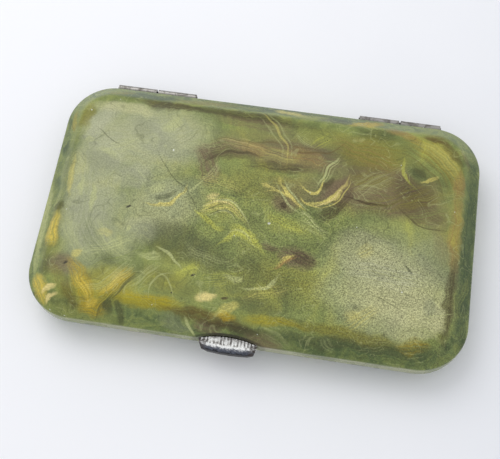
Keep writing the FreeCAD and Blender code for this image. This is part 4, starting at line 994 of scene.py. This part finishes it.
@dataclass(frozen=True)
class FlutedNickel:
    """The thumb catch's plate: bright ribs, grime in the flutes, darker mottled ends, painted shade at the top
    by the lid's notch, and a tarnished belly with painted shade darkening it downwards.

    The flutes fan out from the upright axis of the catch's bow, which stands behind it. Lengths and heights
    are in millimetres.
    """

    RIBS: ClassVar[Stops] = (
        (0.28, Tint.GRIME_AND_SHADE), (0.38, Tint.PEWTER), (0.46, Tint.NICKEL), (0.56, Tint.POLISH),
    )
    BELLY: ClassVar[Stops] = (
        (0.05, Tint.SOOT), (0.3, Tint.BLUED), (0.62, Tint.TARNISH), (0.88, Tint.POLISH),
    )

    name: str
    axis_x: float = -2.6
    axis_y: float = 21.25
    ridge_radius: float = 61.5
    pitch: float = 1.0
    flute_half: float = 0.25
    flute_edge: float = 0.14
    ridge_up: float = 10.6
    ridge_edge: float = 0.15
    rear_rise: float = 0.3
    top_up: float = 12.2
    belly_up: float = 7.6
    belly_rise: float = 0.6
    end_start: float = 5.2
    end_stop: float = 7.6
    wear_size: float = 0.8
    wear_on_belly: float = 1.5
    patch_size: float = 1.5
    rear_share: float = 0.8
    smoothest: float = 0.2
    roughest: float = 0.4
    flute_roughness: float = 0.3
    wear_strength: float = 0.3
    wear_depth: float = 0.05

    def material(self) -> bpy.types.Material:
        """Build the finish.

        Returns:
            The finished material.
        """
        board = FinishBoard(self.name)
        place = board.position()
        x, y, up = board.split(place)
        aside, ahead = board.math("SUBTRACT", x, self.axis_x), board.math("SUBTRACT", self.axis_y, y)
        along = board.math("MULTIPLY", board.math("ARCTAN2", aside, ahead), self.ridge_radius)
        fold = board.math("PINGPONG", along, self.pitch / 2)
        wear = board.noise(place, self.wear_size, detail=5.0, rough=0.7).outputs["Fac"]
        patches = board.noise(place, self.patch_size, detail=2.0).outputs["Fac"]
        top = board.spread(up, self.ridge_up - self.ridge_edge, self.ridge_up + self.ridge_edge)
        rear = board.spread(up, self.ridge_up + self.rear_rise, self.top_up)
        groove = board.spread(fold, self.flute_half + self.flute_edge, self.flute_half - self.flute_edge)
        packed = board.spread(patches, 0.34, 0.62, 0.05, 0.85)
        flute = board.math("MULTIPLY", board.math("MULTIPLY", groove, top), packed)
        ribs = board.ramp(wear, self.RIBS)
        # Painted shade on the belly: over its tarnish, it darkens downwards, away from the ridge.
        height = board.spread(up, self.belly_up, self.ridge_up + self.belly_rise)
        sheen = board.math("MULTIPLY_ADD", board.math("SUBTRACT", wear, 0.5), self.wear_on_belly, height)
        belly = board.ramp(sheen, self.BELLY)
        colour = board.blend(top, belly, ribs)
        colour = board.blend(flute, colour, Tint.GRIME_AND_SHADE.linear)
        # Darker, mottled ends, and painted shade towards the top and back, where the catch sits in the lid's
        # notch.
        ends = board.spread(board.math("ABSOLUTE", along), self.end_start, self.end_stop)
        dull = board.math("MULTIPLY", ends, board.spread(wear, 0.66, 0.44))
        shade = board.math("MAXIMUM", board.math("MULTIPLY", rear, self.rear_share), dull)
        colour = board.blend(shade, colour, Tint.GRIME_AND_SHADE.linear)
        plate = board.spread(wear, NOISE_LOW, NOISE_HIGH, self.smoothest, self.roughest)
        rough = board.math("MULTIPLY_ADD", flute, self.flute_roughness, plate)
        normal = board.bump(wear, self.wear_strength, self.wear_depth)
        return board.finish(Base_Color=colour, Metallic=1.0, Roughness=rough, Normal=normal)


def dress(node: str, material: bpy.types.Material) -> None:
    """Give a carried-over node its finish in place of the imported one.

    Args:
        node: the node's name.
        material: the finish.
    """
    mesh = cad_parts[node].data
    mesh.materials.clear()
    mesh.materials.append(material)
    log.info("%s is dressed in %s", node, material.name)


@dataclass
class Shells:
    """The two moulded shells."""

    lid: MarbledPlastic = MarbledPlastic("marbled plastic of the lid", 0.0, LID_STROKES)
    base: MarbledPlastic = MarbledPlastic("marbled plastic of the base", 41.0, LID_STROKES, Turn.HALF_ROUND)

    def dress(self) -> None:
        """Lay the marbling on both shells."""
        dress("lid_shell", self.lid.material())
        dress("base_shell", self.base.material())


@dataclass
class Hinges:
    """The two butt hinges, with their pins and screws."""

    leaf: AgedNickel = AgedNickel("dulled nickel of the hinges", Tint.PEWTER, Tint.LEAD, 0.6, 0.4)

    def dress(self, wire: bpy.types.Material, screw: bpy.types.Material) -> None:
        """Lay the metals on the leaves, pins and screws.

        Args:
            wire: the finish of the pins.
            screw: the finish of the screws.
        """
        leaf = self.leaf.material()
        for side in ("left", "right"):
            dress(f"{side}_hinge_pin", wire)
            for half in ("lid", "base"):
                dress(f"{side}_hinge_{half}_leaf", leaf)
                dress(f"{side}_hinge_{half}_screws", screw)


@dataclass
class Catch:
    """The rocking thumb catch with its bracket, pin, spring, keeper and screws."""

    thumb: FlutedNickel = FlutedNickel("worn nickel of the thumb catch")
    plate: AgedNickel = AgedNickel("nickel of the plates", Tint.NICKEL, Tint.PEWTER, 0.4, 0.34)
    strip: AgedNickel = AgedNickel("blued steel of the spring", Tint.BLUED, Tint.SOOT, 0.4, 0.3)

    def dress(self, wire: bpy.types.Material, screw: bpy.types.Material) -> None:
        """Lay the metals on the pieces of the catch.

        Args:
            wire: the finish of the pin.
            screw: the finish of the screws.
        """
        dress("thumb_catch", self.thumb.material())
        dress("catch_spring", self.strip.material())
        dress("catch_pin", wire)
        plate = self.plate.material()
        for node in ("catch_bracket", "keeper_plate"):
            dress(node, plate)
        for node in ("catch_bracket_screws", "keeper_screws"):
            dress(node, screw)


@dataclass
class Metalwork:
    """The hinges and the catch, with the finishes of the pins and screws that they share."""

    hinges: Hinges
    catch: Catch
    wire: AgedNickel = AgedNickel("bare steel of the pins", Tint.STEEL, Tint.SOOT, 0.7, 0.42)
    screw: AgedNickel = AgedNickel("nickel of the screws", Tint.NICKEL, Tint.TARNISH, 0.6, 0.32)

    def dress(self) -> None:
        """Make the shared finishes and lay all the metals."""
        wire, screw = self.wire.material(), self.screw.material()
        self.hinges.dress(wire, screw)
        self.catch.dress(wire, screw)


@dataclass
class Studio:
    """The pale table, the soft light and the camera.

    Angles are in degrees. The camera's and the table's sizes are in millimetres, apart from the table's
    reach, which is in metres as the lamp's sizes are.
    """

    focal_px: float = 900.0
    frame_px: float = 500.0
    sensor_width: float = 36.0
    near_clip: float = 0.01
    azimuth: float = 12.51
    elevation: float = 67.98
    roll: float = -3.64
    distance: float = 273.57
    target: Size = (-2.05, -2.56, PARTING)
    table_reach: float = 12.0
    table_bite: float = 0.02
    table_roughness: float = 0.7
    shade_start: float = -20.0
    shade_end: float = 140.0
    shade_wander: float = 12.0
    wander_size: float = 60.0
    fade_start: float = 300.0
    fade_end: float = 900.0
    sky: float = 0.82
    key_power: float = 1.5
    key_size: float = 0.5
    key_place: Size = (-0.3, 0.3, 0.55)

    def place_camera(self) -> None:
        """Stand the camera where the photograph was taken from."""
        turn, rise, roll = (math.radians(angle) for angle in (self.azimuth, self.elevation, self.roll))
        back = Vector((math.sin(turn) * math.cos(rise), -math.cos(turn) * math.cos(rise), math.sin(rise)))
        right = Vector((0, 0, 1)).cross(back).normalized()
        up = back.cross(right)
        tilted = right * math.cos(roll) + up * math.sin(roll)
        upward = up * math.cos(roll) - right * math.sin(roll)
        turned = Matrix((tilted, upward, back)).transposed().to_4x4()
        lens = bpy.data.cameras.new("camera")
        lens.sensor_width = self.sensor_width
        lens.lens = lens.sensor_width * self.focal_px / self.frame_px
        lens.clip_start = self.near_clip
        camera = bpy.data.objects.new("camera", lens)
        camera.matrix_world = Matrix.Translation((Vector(self.target) + back * self.distance) * MM) @ turned
        bpy.context.scene.collection.objects.link(camera)
        bpy.context.scene.camera = camera

    def lay_table(self) -> None:
        """Lay the pale table under the case, with painted shade darkening it to the right, fading to the sky
        far out and open from below.
        """
        bpy.ops.mesh.primitive_plane_add(size=self.table_reach, location=(0.0, 0.0, self.table_bite * MM))
        table = bpy.context.object
        table.name = "table"
        board = FinishBoard("pale table")
        place = board.position()
        # Painted shade: the table darkens towards the right, with a wandering edge, standing in for the key
        # light's fall-off.
        shade_wobble = board.noise(place, self.wander_size, detail=2.0).outputs["Fac"]
        wander = board.spread(shade_wobble, NOISE_LOW, NOISE_HIGH, -self.shade_wander, self.shade_wander)
        along = board.math("ADD", board.split(place)[0], wander)
        shade = board.spread(along, self.shade_start, self.shade_end)
        white = board.blend(shade, Tint.TABLE.linear, Tint.TABLE_SHADE.linear)
        far = board.spread(board.length(place), self.fade_start, self.fade_end)
        near = board.node("BsdfPrincipled", {"Base Color": white, "Roughness": self.table_roughness}).outputs[0]
        sky = board.node("Emission", {"Color": Tint.DAYLIGHT.linear}).outputs[0]
        above = board.node("MixShader", {0: far, 1: near, 2: sky}).outputs[0]
        below = board.node("BsdfTransparent", {}).outputs[0]
        behind = board.node("NewGeometry", {}).outputs["Backfacing"]
        sides = board.node("MixShader", {0: behind, 1: above, 2: below}).outputs[0]
        board.node("OutputMaterial", {"Surface": sides})
        table.data.materials.append(board.material)

    def light(self) -> None:
        """Hang one soft key at the back left, under an even sky that metal and the camera see as white."""
        world = bpy.data.worlds.new("even sky")
        bpy.context.scene.world = world
        world.use_nodes = True
        board = NodeBoard(world.node_tree)
        rays = board.node("LightPath", {}).outputs
        seen = rays["Is Camera Ray"]
        for kind in ("Is Glossy Ray", "Is Transmission Ray"):
            seen = board.math("MAXIMUM", seen, rays[kind])
        background = world.node_tree.nodes["Background"]
        board.put(background.inputs["Color"], Tint.DAYLIGHT.linear)
        board.put(background.inputs["Strength"], board.math("MULTIPLY_ADD", seen, 1 - self.sky, self.sky))
        lamp = bpy.data.lights.new("soft key", "AREA")
        lamp.size = self.key_size
        lamp.energy = self.key_power
        key = bpy.data.objects.new("soft key", lamp)
        spot = Vector(self.key_place)
        key.matrix_world = Matrix.Translation(spot) @ spot.to_track_quat("Z", "Y").to_matrix().to_4x4()
        bpy.context.scene.collection.objects.link(key)

    def build(self) -> None:
        """Set up the table, the light and the camera."""
        bpy.context.scene.view_settings.view_transform = "Standard"
        self.lay_table()
        self.light()
        self.place_camera()


def main() -> None:
    """Dress the case and set up the studio."""
    logging.basicConfig(level=logging.INFO, format="%(message)s")
    Studio().build()
    Shells().dress()
    Metalwork(Hinges(), Catch()).dress()


if __name__ == "__main__":
    main()
